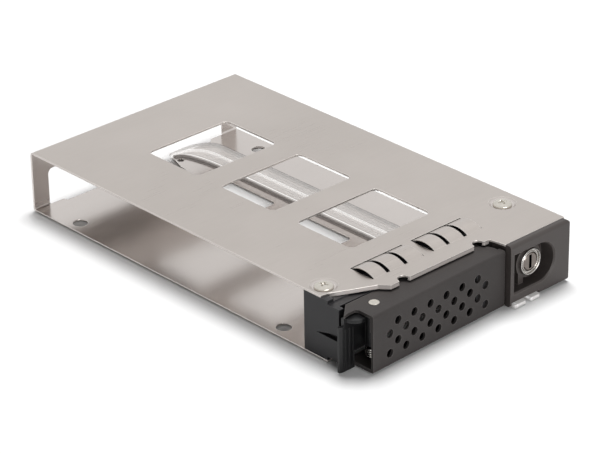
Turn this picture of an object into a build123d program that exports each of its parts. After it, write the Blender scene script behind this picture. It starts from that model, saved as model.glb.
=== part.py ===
from build123d import *
import os
from math import cos, pi, radians, sin

# Carrier tray for one 2.5-inch drive: a folded sheet tray, a moulded bezel, a swing handle with a
# sprung latch, and a key lock that drives a bolt. Millimetres, +Z up. The origin is the centre of
# the four drive screw holes on the underside. The front faces -Y and the lock is on the +X side.

# Folded sheet tray
SHEET_T = 0.5
TRAY_H = 16.8
TRAY_W = 69.85
TRAY_CENTRE_X = 0.525
REAR_Y = 53.0
BEND_R = 1.0
HOLE_SPACING_X = 61.72
HOLE_SPACING_Y = 76.6
HOLE_D = 3.9
HOUSING_FRONT_Y = -69.3
TOP_FRONT_Y = -62.8
LOCK_SHEET_FRONT_Y = HOUSING_FRONT_Y + 1.95
BOTTOM_FRONT_Y = -57.0
CORNER_CUT_X = 2.1
LEFT_EDGE_Y = -54.95
LEFT_CUT_Y = -55.25
DIAGONAL_END_X = -21.2
DIAGONAL_END_Y = -60.5
NOSE_X = -19.2
LIP_H = 1.1
NOTCH_R = 1.5
NOTCH_Y = -62.35
NOTCH_FLARE = 0.4
NOTCH_CENTRES_X = (-14.65, 10.5)

# Windows, rear opening and the connector notch
WINDOW_W = 27.0
WINDOW_L = 19.3
WINDOW_R = 1.6
WINDOW_COUNT = 3
TOP_WINDOW_Y = 22.0
TOP_WINDOW_PITCH = 27.7
BOTTOM_WINDOW_Y = 21.1
BOTTOM_WINDOW_PITCH = 28.2
BOTTOM_WINDOW_W = 25.6
POST_W = 5.0
REAR_OPENING_H = 10.4
REAR_OPENING_R = 1.5
POST_TAB_W = 4.5
POST_TAB_Y = 52.2
BOTTOM_REAR_Y = 51.0
CONNECTOR_NOTCH_R = 8.6
CONNECTOR_NOTCH_Y = 45.0
CONNECTOR_NOTCH_FLARE = 1.9
LOCATING_HOLE_D = 1.8
LOCATING_HOLE_X = 11.6
LOCATING_HOLE_Y = 48.0

# Contact fingers lanced from the top sheet
FINGER_REAR_Y = -49.9
FINGER_FRONT_Y = -57.6
FINGER_RISE = 1.1
FINGER_T = 0.3
FINGER_REAR_GAP = 0.4
FINGER_SIDE_GAP = 0.4
FINGER_WIDTHS = (4.2, 4.7, 5.0)
FINGER_GAP = 1.2
FINGER_FIRST_X = -19.7
FINGER_GROUP_PITCH = 20.1

# Bezel screws in their dimples
SCREW_X = TRAY_W / 2 - 4.685
SCREW_Y = -51.7
SCREW_HEAD_D = 4.8
SCREW_HEAD_H = 0.95
SCREW_SHANK_D = 2.5
SCREW_LENGTH = 4.0
TOP_SCREW_SINK = 0.55
BOTTOM_SCREW_SINK = 1.0
DIMPLE_TOP_D = 7.0
DIMPLE_FLOOR_D = 5.6
DIMPLE_CLEAR = 0.05

# Moulded bezel
BEZEL_REAR_Y = -49.3
BEZEL_FRONT_Y = -57.3
SIDE_WALL_T = 1.5
SIDE_WALL_FRONT_Y = -61.1
SHELF_FRONT_Y = -59.7
SHELF_X1 = -20.5
SHELF_T = 0.85
BEZEL_UNDER_Z = 1.5
CELL_Z0 = 3.0
CELL_Z1 = 13.9
CELL_COUNT = 5
CELL_RIB = 1.6
CELL_VENT_Z = 9.2
CELL_BACK_T = 1.2
CELL_R = 0.6
SIDE_GROOVE_Z = 6.8
SIDE_GROOVE_RISE = 1.8
SIDE_GROOVE_Y = -53.3
SIDE_GROOVE_DEPTH = 1.2

# Lock housing at the right end of the bezel
HOUSING_X0 = 14.75
HOUSING_NECK = 0.2
HOUSING_Z0 = 0.2
HOUSING_EDGE_R = 0.9
HOUSING_WALL = 1.5
RECESS_X0 = 16.3
RECESS_X1 = 30.2
RECESS_Z0 = 3.6
RECESS_Z1 = 13.8
RECESS_DEPTH = 4.5
RECESS_EDGE = 0.4
HOUSING_WEB = 4.0
BOSS_R = 4.3
BOSS_RIB_W = 1.7
RAIL_H = 2.25
RAIL_LIP = 0.3
RAIL_LIP_T = 1.2
CAVITY_FLOOR_T = 1.0
SWING_CLEAR = 0.2

# Key lock and the bolt that it drives
LOCK_X = 23.7
LOCK_Z = 8.9
LOCK_HEAD_D = 7.0
LOCK_HEAD_T = 0.9
LOCK_FRONT_Y = HOUSING_FRONT_Y + 1.7
LOCK_BODY_D = 6.0
LOCK_BODY_REAR_Y = -58.0
PLUG_D = 4.8
PLUG_FIT = 0.05
PLUG_SINK = 0.25
KEYWAY_W = 0.9
KEYWAY_H = 3.6
KEYWAY_DEPTH = 9.0
NUT_AF = 8.0
NUT_T = 2.0
WASHER_D = 8.6
WASHER_T = 0.6
DRIVER_D = 6.2
DRIVER_T = 1.2
DRIVER_GAP = 0.1
CRANK_R = 1.77
CRANK_PIN_D = 1.6
BOLT_T = 1.4
BOLT_X0 = 19.0
BOLT_FRONT_Y = -56.5
BOLT_CLEAR = 0.15
BOLT_SLOT_CLEAR = 0.3
RETAINER_T = 0.8
RETAINER_MARGIN = 0.3
RETAINER_SCREW_D = 1.2
RETAINER_SCREW_HEAD_D = 2.2
RETAINER_SCREW_HEAD_H = 0.5
RETAINER_SCREW_L = 3.2
RETAINER_SCREW_EDGE = 1.25

# Light guides on the tray floor
GUIDE_T = 0.7
GUIDE_X0 = 15.4
GUIDE_X1 = 24.9
GUIDE_SPLIT = 0.2
GUIDE_STRAIGHT_Y = 30.0
GUIDE_INNER_BEND = ((15.2, 40.0), (14.4, 45.4), (13.4, 48.6), (11.2, 50.6))
GUIDE_OUTER_BEND = ((24.8, 42.0), (23.8, 49.0), (19.9, 51.7), (11.2, 52.2))
GUIDE_TIP_Y = HOUSING_FRONT_Y - 1.0
GUIDE_TIP_Z0 = 0.15
GUIDE_TIP_WIDTHS = (3.9, 3.2)
GUIDE_CLEAR = 0.15
GUIDE_RIB_H = 0.14
GUIDE_RIB_SHARE = 0.028
GUIDE_RIB_COUNT = 4

# Swing handle
COVER_T = 0.8
COVER_Z0 = 0.2
COVER_Z1 = TRAY_H - 1.5
COVER_X0 = -30.9
COVER_X1 = 14.35
COVER_FRONT_LEFT_Y = -68.95
COVER_FRONT_RIGHT_Y = -67.7
COVER_REAR_Y = -60.05
COVER_EAR_X = -35.4
COVER_EAR_Y = -63.4
COVER_EAR_REAR_X = -31.3
COVER_EDGE_R = 0.6
COVER_LIP = 1.0
COVER_LEFT_LIP = 0.4
COVER_LIP_Z = 10.9
VENT_D = 2.2
VENT_PITCH_X = 5.48
VENT_PITCH_Z = 2.6
VENT_CENTRE_X = -8.95
VENT_CENTRE_Z = 7.45
VENT_ROWS = (6, 7, 6, 7)
HINGE_X = 10.2
HINGE_Y = -65.2
HINGE_PIN_D = 1.6
HINGE_FIT = 0.05
KNUCKLE_R = 1.6
HINGE_BLOCK_L = 5.0
HINGE_BLOCK_T = 3.0
LUG_Z = 1.6
LUG_T = 1.8
KNUCKLE_H = 9.0
LUG_GAP = 0.2

# Sprung latch at the free end of the handle
LATCH_X = -25.9
LATCH_Y = -64.0
LATCH_PIN_D = 2.0
LATCH_HEAD_D = 2.7
LATCH_HEAD_T = 0.2
LATCH_HUB_R = 2.4
LATCH_SPOOL_R = 1.5
LATCH_SPOOL_Z = 4.7
LATCH_END_GAP = 0.3
LATCH_TAB_X = -36.4
LATCH_TAB_Y = -63.5
LATCH_TAB_T = 0.9
LATCH_TAB_Z1 = 12.2
LATCH_FOOT_Z = 0.3
LATCH_FOOT_X = -31.7
LATCH_GRIP_R = 2.9
LATCH_RIB_COUNT = 3
BARB_Z = (5.0, 10.0)
BARB_REACH_Y = -59.2
BARB_STEM_W = 2.0
BARB_HOOK = 1.0
BARB_T = 1.0
CATCH_GAP = 0.4
SPRING_WIRE_D = 0.45
SPRING_COIL_R = 2.0
SPRING_TURNS = 4.5
SPRING_PITCH = 0.6

TRAY_X0 = TRAY_CENTRE_X - TRAY_W / 2
TRAY_X1 = TRAY_CENTRE_X + TRAY_W / 2
TOP_INNER_Z = TRAY_H - SHEET_T
GUIDE_Z1 = SHEET_T + GUIDE_T
HOUSING_CAVITY_Y = HOUSING_FRONT_Y + RECESS_DEPTH + HOUSING_WEB
CAVITY_X0 = HOUSING_X0 + HOUSING_WALL
CAVITY_X1 = TRAY_X1 - HOUSING_WALL
CAVITY_Z0 = GUIDE_Z1 + GUIDE_CLEAR + CAVITY_FLOOR_T
CAVITY_Z1 = TOP_INNER_Z - HOUSING_WALL
RETAINER_FRONT_Y = BEZEL_REAR_Y - RETAINER_T
BOLT_REAR_Y = BOLT_FRONT_Y + BOLT_T
BOLT_ROOM = CAVITY_Z1 - RAIL_H - LOCK_Z
BOLT_H = 2 * (BOLT_ROOM - BOLT_CLEAR)
BOSS_FRONT_Y = LOCK_FRONT_Y + LOCK_HEAD_T
DRIVER_FRONT_Y = LOCK_BODY_REAR_Y + DRIVER_GAP
BOLT_TRAVEL = 2 * CRANK_R * sin(radians(45))


def block(x0, x1, y0, y1, z0, z1):
    """Solid between two corners."""
    return Pos((x0 + x1) / 2, (y0 + y1) / 2, (z0 + z1) / 2) * Box(x1 - x0, y1 - y0, z1 - z0)


def prism(points, z0, z1):
    """Polygon in plan, raised from z0 to z1."""
    face = make_face(Polyline(*points, close=True))
    return Pos(0, 0, z0) * extrude(face, z1 - z0, dir=(0, 0, 1))


def window(x0, x1, y0, y1, z0, z1, radius):
    """Rounded rectangle in plan, raised from z0 to z1."""
    sketch = RectangleRounded(x1 - x0, y1 - y0, radius)
    return Pos((x0 + x1) / 2, (y0 + y1) / 2, z0) * extrude(sketch, z1 - z0)


def along_y(sketch, y0, y1):
    """Sketch drawn with x along X and y along Z, swept from y0 to y1."""
    return Rot(90, 0, 0) * Pos(0, 0, -y1) * extrude(sketch, y1 - y0)


def along_x(sketch, x0, x1):
    """Sketch drawn with x along Y and y along Z, swept from x0 to x1."""
    return Plane.YZ * Pos(0, 0, x0) * extrude(sketch, x1 - x0)


def post(x, y, z0, z1, radius):
    """Upright round bar."""
    return Pos(x, y, (z0 + z1) / 2) * Cylinder(radius, z1 - z0)


def rod(x, z, y0, y1, radius):
    """Round bar along Y."""
    return Pos(x, (y0 + y1) / 2, z) * Rot(90, 0, 0) * Cylinder(radius, y1 - y0)


def top_outline():
    """Plan of the top sheet, from the rear left corner round to the rear right one."""
    points = [
        (TRAY_X0, REAR_Y),
        (TRAY_X0, LEFT_EDGE_Y),
        (TRAY_X0 + CORNER_CUT_X, LEFT_CUT_Y),
        (DIAGONAL_END_X, DIAGONAL_END_Y),
        (NOSE_X, TOP_FRONT_Y),
        (HOUSING_X0 - 0.9, TOP_FRONT_Y),
        (HOUSING_X0 - 0.1, LOCK_SHEET_FRONT_Y),
        (TRAY_X1, LOCK_SHEET_FRONT_Y),
        (TRAY_X1, REAR_Y),
    ]
    return points


def edge_notch(centre):
    """Round notch in the front edge of the top sheet and its lip, with a flared mouth."""
    z0, z1 = TRAY_H - LIP_H - 1, TRAY_H + 1
    wide = NOTCH_R + NOTCH_FLARE
    mouth = [
        (centre - wide, TOP_FRONT_Y - 0.1), (centre + wide, TOP_FRONT_Y - 0.1),
        (centre + NOTCH_R, NOTCH_Y), (centre - NOTCH_R, NOTCH_Y),
    ]
    return post(centre, NOTCH_Y, z0, z1, NOTCH_R) + prism(mouth, z0, z1)


def bottom_outline():
    """Plan of the bottom sheet, with the tabs at the posts."""
    tab_x0 = TRAY_X0 + POST_W
    tab_x1 = TRAY_X1 - POST_W
    lock_x0 = HINGE_X + swing_radius() + SWING_CLEAR
    return [
        (TRAY_X0, REAR_Y),
        (TRAY_X0, BOTTOM_FRONT_Y),
        (lock_x0, BOTTOM_FRONT_Y),
        (lock_x0, LOCK_SHEET_FRONT_Y),
        (TRAY_X1, LOCK_SHEET_FRONT_Y),
        (TRAY_X1, REAR_Y),
        (tab_x1, REAR_Y),
        (tab_x1, POST_TAB_Y),
        (tab_x1 - POST_TAB_W, POST_TAB_Y),
        (tab_x1 - POST_TAB_W - 1.0, BOTTOM_REAR_Y),
        (tab_x0 + POST_TAB_W + 0.2, BOTTOM_REAR_Y),
        (tab_x0 + POST_TAB_W, POST_TAB_Y),
        (tab_x0, POST_TAB_Y),
        (tab_x0, REAR_Y),
    ]


def connector_notch():
    """Round-bottomed notch in the rear edge of the bottom sheet, flared towards its mouth."""
    x, r = TRAY_CENTRE_X, CONNECTOR_NOTCH_R
    mouth = r + CONNECTOR_NOTCH_FLARE
    flare = prism(
        [
            (x - r, CONNECTOR_NOTCH_Y),
            (x + r, CONNECTOR_NOTCH_Y),
            (x + mouth, BOTTOM_REAR_Y - 0.8),
            (x + mouth + 1.2, REAR_Y),
            (x - mouth - 1.2, REAR_Y),
            (x - mouth, BOTTOM_REAR_Y - 0.8),
        ],
        -1,
        SHEET_T + 1,
    )
    return flare + post(x, CONNECTOR_NOTCH_Y, -1, SHEET_T + 1, r)


def rear_opening():
    """Opening of the rear wall between its two posts, down to the tray floor."""
    width = TRAY_W - 2 * POST_W
    low = -2.0
    height = REAR_OPENING_H - low
    sketch = Pos(TRAY_CENTRE_X, (low + REAR_OPENING_H) / 2) * Rectangle(width, height)
    top_corners = sketch.vertices().group_by(Axis.Y)[-1]
    sketch = fillet(top_corners, REAR_OPENING_R)
    return along_y(sketch, POST_TAB_Y, REAR_Y + 1)


def front_lip(outline_face):
    """Down-turned lip of the top sheet along its diagonal and its front edge."""
    ring = outline_face - offset(outline_face, -SHEET_T)
    lip = Pos(0, 0, TRAY_H - LIP_H) * extrude(ring, LIP_H - SHEET_T / 2)
    keep = block(
        TRAY_X0 + CORNER_CUT_X + 0.3, HOUSING_X0 - 1.0, TOP_FRONT_Y - 1, BEZEL_FRONT_Y + 3, 0, TRAY_H
    )
    return lip & keep


def finger_spans():
    """Left and right edge of each contact finger, in two groups."""
    spans = []
    for group in range(2):
        x = FINGER_FIRST_X + group * FINGER_GROUP_PITCH
        for width in FINGER_WIDTHS:
            spans.append((x, x + width))
            x += width + FINGER_GAP
    return spans


def finger(x0, x1):
    """Arched strip that springs from the sheet at its front and ends free behind the crest."""
    crown = TRAY_H + FINGER_RISE
    root = (FINGER_FRONT_Y - 0.1, TRAY_H)
    tip = (FINGER_REAR_Y - FINGER_REAR_GAP, TRAY_H)
    crest = ((root[0] + tip[0]) / 2, crown)
    upper = ThreePointArc(root, crest, tip)
    lower = ThreePointArc(
        (tip[0], tip[1] - FINGER_T), (crest[0], crest[1] - FINGER_T), (root[0], root[1] - FINGER_T)
    )
    ends = [Line(tip, (tip[0], tip[1] - FINGER_T)), Line((root[0], root[1] - FINGER_T), root)]
    return along_x(make_face([upper, lower] + ends), x0, x1)


def finger_slots():
    """Slots cut in the top sheet around each group of fingers."""
    slots = []
    spans = finger_spans()
    for group in (spans[:3], spans[3:]):
        slots.append(
            block(
                group[0][0] - FINGER_SIDE_GAP, group[-1][1] + FINGER_SIDE_GAP, FINGER_FRONT_Y, FINGER_REAR_Y,
                TOP_INNER_Z - 1, TRAY_H + 1,
            )
        )
    return slots


def faces():
    """Outer face, direction and screw depth on the tray's two sheets."""
    return ((TRAY_H, True, TOP_SCREW_SINK), (0, False, BOTTOM_SCREW_SINK))


def dimple(x, y, z_outer, up, sink):
    """Pair of solids: the metal pressed inwards round a screw, and the hollow that it leaves."""
    top_r, floor_r = DIMPLE_TOP_D / 2, DIMPLE_FLOOR_D / 2
    hollow = Cone(floor_r, top_r, sink + DIMPLE_CLEAR, align=(Align.CENTER, Align.CENTER, Align.MAX))
    metal = Pos(0, 0, -SHEET_T) * hollow
    turn = Rot(0, 0, 0) if up else Rot(180, 0, 0)
    place = Pos(x, y, z_outer) * turn
    return place * metal, place * hollow


def tray_shell():
    """Top, rear wall and bottom of the tray, one sheet folded twice, with everything cut in it."""
    front = LOCK_SHEET_FRONT_Y
    outer = block(TRAY_X0, TRAY_X1, front, REAR_Y, 0, TRAY_H)
    outer = fillet(outer.edges().filter_by(Axis.X).group_by(Axis.Y)[-1], BEND_R)
    inner = block(TRAY_X0 - 1, TRAY_X1 + 1, front - 1, REAR_Y - SHEET_T, SHEET_T, TOP_INNER_Z)
    inner = fillet(inner.edges().filter_by(Axis.X).group_by(Axis.Y)[-1], BEND_R - SHEET_T)
    fold = outer - inner
    top_face = make_face(Polyline(*top_outline(), close=True))
    middle = TRAY_H / 2
    upper = fold & (Pos(0, 0, middle) * extrude(top_face, TRAY_H))
    lower = fold & prism(bottom_outline(), -1, middle)
    shell = upper + lower + front_lip(top_face)

    cuts = [rear_opening(), connector_notch()] + [edge_notch(x) for x in NOTCH_CENTRES_X]
    for i in range(WINDOW_COUNT):
        y = TOP_WINDOW_Y - i * TOP_WINDOW_PITCH
        cuts.append(
            window(
                TRAY_CENTRE_X - WINDOW_W / 2, TRAY_CENTRE_X + WINDOW_W / 2, y - WINDOW_L / 2,
                y + WINDOW_L / 2, TOP_INNER_Z - 1, TRAY_H + 1, WINDOW_R,
            )
        )
        y = BOTTOM_WINDOW_Y - i * BOTTOM_WINDOW_PITCH
        cuts.append(
            window(
                TRAY_CENTRE_X - WINDOW_W / 2, TRAY_CENTRE_X - WINDOW_W / 2 + BOTTOM_WINDOW_W,
                y - WINDOW_L / 2, y + WINDOW_L / 2, -1, SHEET_T + 1, WINDOW_R,
            )
        )
    for sx in (-1, 1):
        for sy in (-1, 1):
            cuts.append(
                post(sx * HOLE_SPACING_X / 2, sy * HOLE_SPACING_Y / 2, -1, SHEET_T + 1, HOLE_D / 2)
            )
    cuts.append(post(LOCATING_HOLE_X, LOCATING_HOLE_Y, -1, SHEET_T + 1, LOCATING_HOLE_D / 2))
    shell -= cuts
    shell -= finger_slots()
    for x0, x1 in finger_spans():
        shell += finger(x0, x1)
    for x in (-SCREW_X, SCREW_X):
        for z, up, sink in faces():
            metal, hollow = dimple(x, SCREW_Y, z, up, sink)
            shell = shell + metal - hollow
        shell -= post(x, SCREW_Y, -2, TRAY_H + 2, SCREW_SHANK_D / 2 + 0.1)
    return shell


def screw(x, z, up, sink):
    """Pan-head screw with a cross recess, seated in its dimple."""
    head = Pos(0, 0, -sink) * Cylinder(
        SCREW_HEAD_D / 2, SCREW_HEAD_H, align=(Align.CENTER, Align.CENTER, Align.MIN)
    )
    head = chamfer(head.edges().filter_by(GeomType.CIRCLE).group_by(Axis.Z)[-1], SCREW_HEAD_H * 0.45)
    top = SCREW_HEAD_H - sink
    for angle in (0, 90):
        head -= Rot(0, 0, angle + 30) * (Pos(0, 0, top) * Box(SCREW_HEAD_D * 0.55, 0.6, 0.9))
    shank = Pos(0, 0, -sink) * Cylinder(
        SCREW_SHANK_D / 2, SCREW_LENGTH, align=(Align.CENTER, Align.CENTER, Align.MAX)
    )
    turn = Rot(0, 0, 0) if up else Rot(180, 0, 0)
    return Pos(x, SCREW_Y, z) * turn * (head + shank)


def screw_pocket(x, z, up, sink):
    """Room in the bezel for a dimple of the sheet and a screw's shank."""
    inner = sink + 2 * DIMPLE_CLEAR
    seat = Cylinder(DIMPLE_TOP_D / 2 + 0.2, inner, align=(Align.CENTER, Align.CENTER, Align.MAX))
    bore = Cylinder(SCREW_SHANK_D / 2, SCREW_LENGTH + 1.2, align=(Align.CENTER, Align.CENTER, Align.MAX))
    turn = Rot(0, 0, 0) if up else Rot(180, 0, 0)
    return Pos(x, SCREW_Y, z) * turn * (Pos(0, 0, -SHEET_T) * seat + bore)


def recess_sketch(grow=0.0):
    """Front recess of the lock housing: square at the left and round at the right."""
    radius = (RECESS_Z1 - RECESS_Z0) / 2 + grow
    middle = (RECESS_Z1 + RECESS_Z0) / 2
    centre = RECESS_X1 - (RECESS_Z1 - RECESS_Z0) / 2
    x0 = RECESS_X0 - grow
    square = Pos((x0 + centre) / 2, middle) * Rectangle(centre - x0, 2 * radius)
    return square + Pos(centre, middle) * Circle(radius)


def lock_boss():
    """Round boss on the recess floor that carries the lock, with an upright rib at its left."""
    floor = HOUSING_FRONT_Y + RECESS_DEPTH
    boss = rod(LOCK_X, LOCK_Z, BOSS_FRONT_Y, floor + 0.5, BOSS_R)
    rib_x = LOCK_X - BOSS_R + 0.8
    rib = block(rib_x, rib_x + BOSS_RIB_W, BOSS_FRONT_Y, floor + 0.5, RECESS_Z0 - 0.5, LOCK_Z)
    return boss + rib


def swing_radius():
    """Reach of the handle's right front corner about its hinge."""
    return ((COVER_X1 - HINGE_X) ** 2 + (cover_front_y(COVER_X1) - HINGE_Y) ** 2) ** 0.5


def lock_housing():
    """Moulding at the right end of the bezel, hollow behind the web that the lock is screwed to."""
    body = block(HOUSING_X0, TRAY_X1, LOCK_SHEET_FRONT_Y - HOUSING_NECK, BEZEL_REAR_Y, SHEET_T, TOP_INNER_Z)
    nose = block(
        HOUSING_X0, TRAY_X1, HOUSING_FRONT_Y, LOCK_SHEET_FRONT_Y - HOUSING_NECK / 2, HOUSING_Z0, TRAY_H - 0.05
    )
    rim = nose.edges().filter_by(Axis.X).group_by(Axis.Y)[0]
    corner = nose.edges().filter_by(Axis.Y).group_by(Axis.X)[-1].sort_by(Axis.Z)[-1]
    body += fillet(list(rim) + [corner], HOUSING_EDGE_R)
    body -= along_y(recess_sketch(), HOUSING_FRONT_Y - 1, HOUSING_FRONT_Y + RECESS_DEPTH)
    body -= loft(
        [
            Plane.XZ.offset(-HOUSING_FRONT_Y + 0.01) * recess_sketch(RECESS_EDGE),
            Plane.XZ.offset(-HOUSING_FRONT_Y - RECESS_EDGE) * recess_sketch(),
        ]
    )
    cavity = block(CAVITY_X0, CAVITY_X1, HOUSING_CAVITY_Y, BEZEL_REAR_Y + 1, CAVITY_Z0, CAVITY_Z1)
    body = body - cavity + bolt_rails()
    reach = BOTTOM_SCREW_SINK + SCREW_LENGTH + 1.6
    boss_r = SCREW_SHANK_D / 2 + 0.8
    body += post(SCREW_X, SCREW_Y, SHEET_T, reach, boss_r)
    body += post(SCREW_X, SCREW_Y, TRAY_H - reach, TOP_INNER_Z, boss_r)
    body -= block(CAVITY_X0, CAVITY_X1, RETAINER_FRONT_Y, BEZEL_REAR_Y + 1, CAVITY_Z0, CAVITY_Z1)
    body += lock_boss()
    body -= rod(LOCK_X, LOCK_Z, HOUSING_FRONT_Y, HOUSING_CAVITY_Y + 1, LOCK_BODY_D / 2 + 0.05)
    body -= block(
        CAVITY_X1 - 0.5, TRAY_X1 + 1, BOLT_FRONT_Y - BOLT_CLEAR, BOLT_REAR_Y + BOLT_CLEAR,
        LOCK_Z - BOLT_ROOM, LOCK_Z + BOLT_ROOM,
    )
    body -= post(HINGE_X, HINGE_Y, -1, COVER_Z1 + 0.3, swing_radius() + SWING_CLEAR)
    for z, up, sink in faces():
        body -= screw_pocket(SCREW_X, z, up, sink)
    return body - block(
        GUIDE_X0 - GUIDE_CLEAR, GUIDE_X1 + GUIDE_CLEAR, HOUSING_FRONT_Y - 1, BEZEL_REAR_Y + 1, -1,
        GUIDE_Z1 + GUIDE_CLEAR,
    )


def bolt_rails():
    """Rails above and below the bolt, grooved for its edges and bored for the retainer's screws."""
    front, rear = BOLT_FRONT_Y - BOLT_CLEAR, BOLT_REAR_Y + BOLT_CLEAR
    low, high = LOCK_Z - BOLT_ROOM, LOCK_Z + BOLT_ROOM
    y0 = front - RAIL_LIP_T
    rails = block(CAVITY_X0, CAVITY_X1, y0, RETAINER_FRONT_Y, CAVITY_Z0 - 0.5, low + RAIL_LIP)
    rails += block(CAVITY_X0, CAVITY_X1, y0, RETAINER_FRONT_Y, high - RAIL_LIP, CAVITY_Z1 + 0.5)
    rails -= block(CAVITY_X0, CAVITY_X1, front, rear, low, high)
    for x, z in retainer_screw_places():
        rails -= rod(x, z, BEZEL_REAR_Y - RETAINER_SCREW_L, RETAINER_FRONT_Y + 1, RETAINER_SCREW_D / 2)
    return rails


def retainer_screw_places():
    """Two screws of the retainer: low at the left and high at the right."""
    return [
        (CAVITY_X0 + 2.2, LOCK_Z - BOLT_ROOM - RETAINER_SCREW_EDGE),
        (SCREW_X - 3.6, CAVITY_Z1 - RETAINER_SCREW_EDGE),
    ]


def upper_lug_z():
    """Underside of the upper lug."""
    return LUG_Z + LUG_T + KNUCKLE_H


def hinge_lugs():
    """Two lugs of the bezel that carry the hinge pin above and below the handle's knuckle."""
    lugs = []
    for z0 in (LUG_Z, upper_lug_z()):
        z1 = z0 + LUG_T
        arm = block(HINGE_X - KNUCKLE_R, HINGE_X + KNUCKLE_R, HINGE_Y, BEZEL_FRONT_Y + 0.5, z0, z1)
        lug = arm + post(HINGE_X, HINGE_Y, z0, z1, KNUCKLE_R)
        lugs.append(lug - post(HINGE_X, HINGE_Y, z0 - 1, z1 + 1, HINGE_PIN_D / 2))
    return lugs


def bezel_cells():
    """Five air cells: deep pockets that open through the rear wall only near the top."""
    span0, span1 = -SCREW_X + SCREW_SHANK_D, HOUSING_X0 - 1.4
    step = (span1 - span0 + CELL_RIB) / CELL_COUNT
    back = BEZEL_REAR_Y - CELL_BACK_T
    cells = []
    for i in range(CELL_COUNT):
        x = span0 + i * step + (step - CELL_RIB) / 2
        for z0, y1 in ((CELL_Z0, back), (CELL_VENT_Z, BEZEL_REAR_Y + 1)):
            opening = RectangleRounded(step - CELL_RIB, CELL_Z1 - z0, CELL_R)
            cells.append(along_y(Pos(x, (z0 + CELL_Z1) / 2) * opening, BEZEL_FRONT_Y - 1, y1))
    return cells


def front_bezel():
    """Moulded front block with air cells, a side cheek and shelf beside the latch, and hinge lugs."""
    body = block(TRAY_X0, HOUSING_X0, BEZEL_FRONT_Y, BEZEL_REAR_Y, SHEET_T, TOP_INNER_Z)
    body -= block(TRAY_X0 - 1, HOUSING_X0 + 1, BEZEL_FRONT_Y - 1, BOTTOM_FRONT_Y - 0.1, -1, BEZEL_UNDER_Z)
    shelf_z = COVER_Z1 + 0.05
    body += block(
        TRAY_X0, TRAY_X0 + SIDE_WALL_T, SIDE_WALL_FRONT_Y, BEZEL_FRONT_Y + 1, BEZEL_UNDER_Z, shelf_z
    )
    body += block(TRAY_X0, SHELF_X1, SHELF_FRONT_Y, BEZEL_FRONT_Y + 1, shelf_z - SHELF_T, shelf_z)
    body -= bezel_cells()
    body += hinge_lugs()
    body += latch_catch()
    body -= side_groove()
    body -= lip_rebate()
    for z, up, sink in faces():
        body -= screw_pocket(-SCREW_X, z, up, sink)
    return body


def lip_rebate():
    """Room for the down-turned lip where it crosses the bezel's left corner."""
    x0 = TRAY_X0 + CORNER_CUT_X
    back = 2.5 * SHEET_T
    plan = [
        (x0 - 0.1, LEFT_CUT_Y + back), (DIAGONAL_END_X, DIAGONAL_END_Y + back), (DIAGONAL_END_X, TOP_FRONT_Y),
        (x0 - 0.1, TOP_FRONT_Y),
    ]
    return prism(plan, TRAY_H - LIP_H - 0.1, TRAY_H)


def side_groove():
    """Wedge-shaped groove in the bezel's left cheek, deeper and taller towards the front."""
    front = SIDE_WALL_FRONT_Y - 1
    middle = (SIDE_GROOVE_Y + front) / 2
    sketch = make_face(
        Polyline(
            (SIDE_GROOVE_Y, SIDE_GROOVE_Z), (front, SIDE_GROOVE_Z), (front, SIDE_GROOVE_Z + SIDE_GROOVE_RISE),
            (middle, SIDE_GROOVE_Z + SIDE_GROOVE_RISE * 0.65), close=True,
        )
    )
    return along_x(sketch, TRAY_X0 - 1, TRAY_X0 + SIDE_GROOVE_DEPTH)


def latch_catch():
    """Bar across an air cell that the latch's barb snaps behind when the handle is pushed home."""
    x0 = LATCH_X + BARB_STEM_W / 2 + 0.3
    y0 = BARB_REACH_Y + CATCH_GAP
    return block(x0, x0 + BARB_HOOK + 1.2, y0, BEZEL_FRONT_Y + 1.5, CELL_Z0 - 0.5, CELL_Z1 + 0.5)


def guide_strand(share):
    """Points of the line that runs a given share of the way across the band of guides."""
    inner = ((GUIDE_X0, GUIDE_STRAIGHT_Y),) + GUIDE_INNER_BEND
    outer = ((GUIDE_X1, GUIDE_STRAIGHT_Y),) + GUIDE_OUTER_BEND
    return [
        (a[0] + share * (b[0] - a[0]), a[1] + share * (b[1] - a[1])) for a, b in zip(inner, outer)
    ]


def guide_band(share0, share1, y_front, z0, z1):
    """Strip between two strands: straight along the tray, then swept round to the left."""
    left, right = guide_strand(share0), guide_strand(share1)
    left_curve = Spline(left, tangents=[(0, 1), (-1, 0.2 - 0.15 * share0)])
    right_curve = Spline(right, tangents=[(0, 1), (-1, 0.2 - 0.15 * share1)])
    x0, x1 = left[0][0], right[0][0]
    edges = [
        left_curve, right_curve, Line(left[-1], right[-1]), Line(left[0], (x0, y_front)),
        Line((x0, y_front), (x1, y_front)), Line((x1, y_front), right[0]),
    ]
    return Pos(0, 0, z0) * extrude(make_face(edges), z1 - z0, dir=(0, 0, 1))


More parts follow.
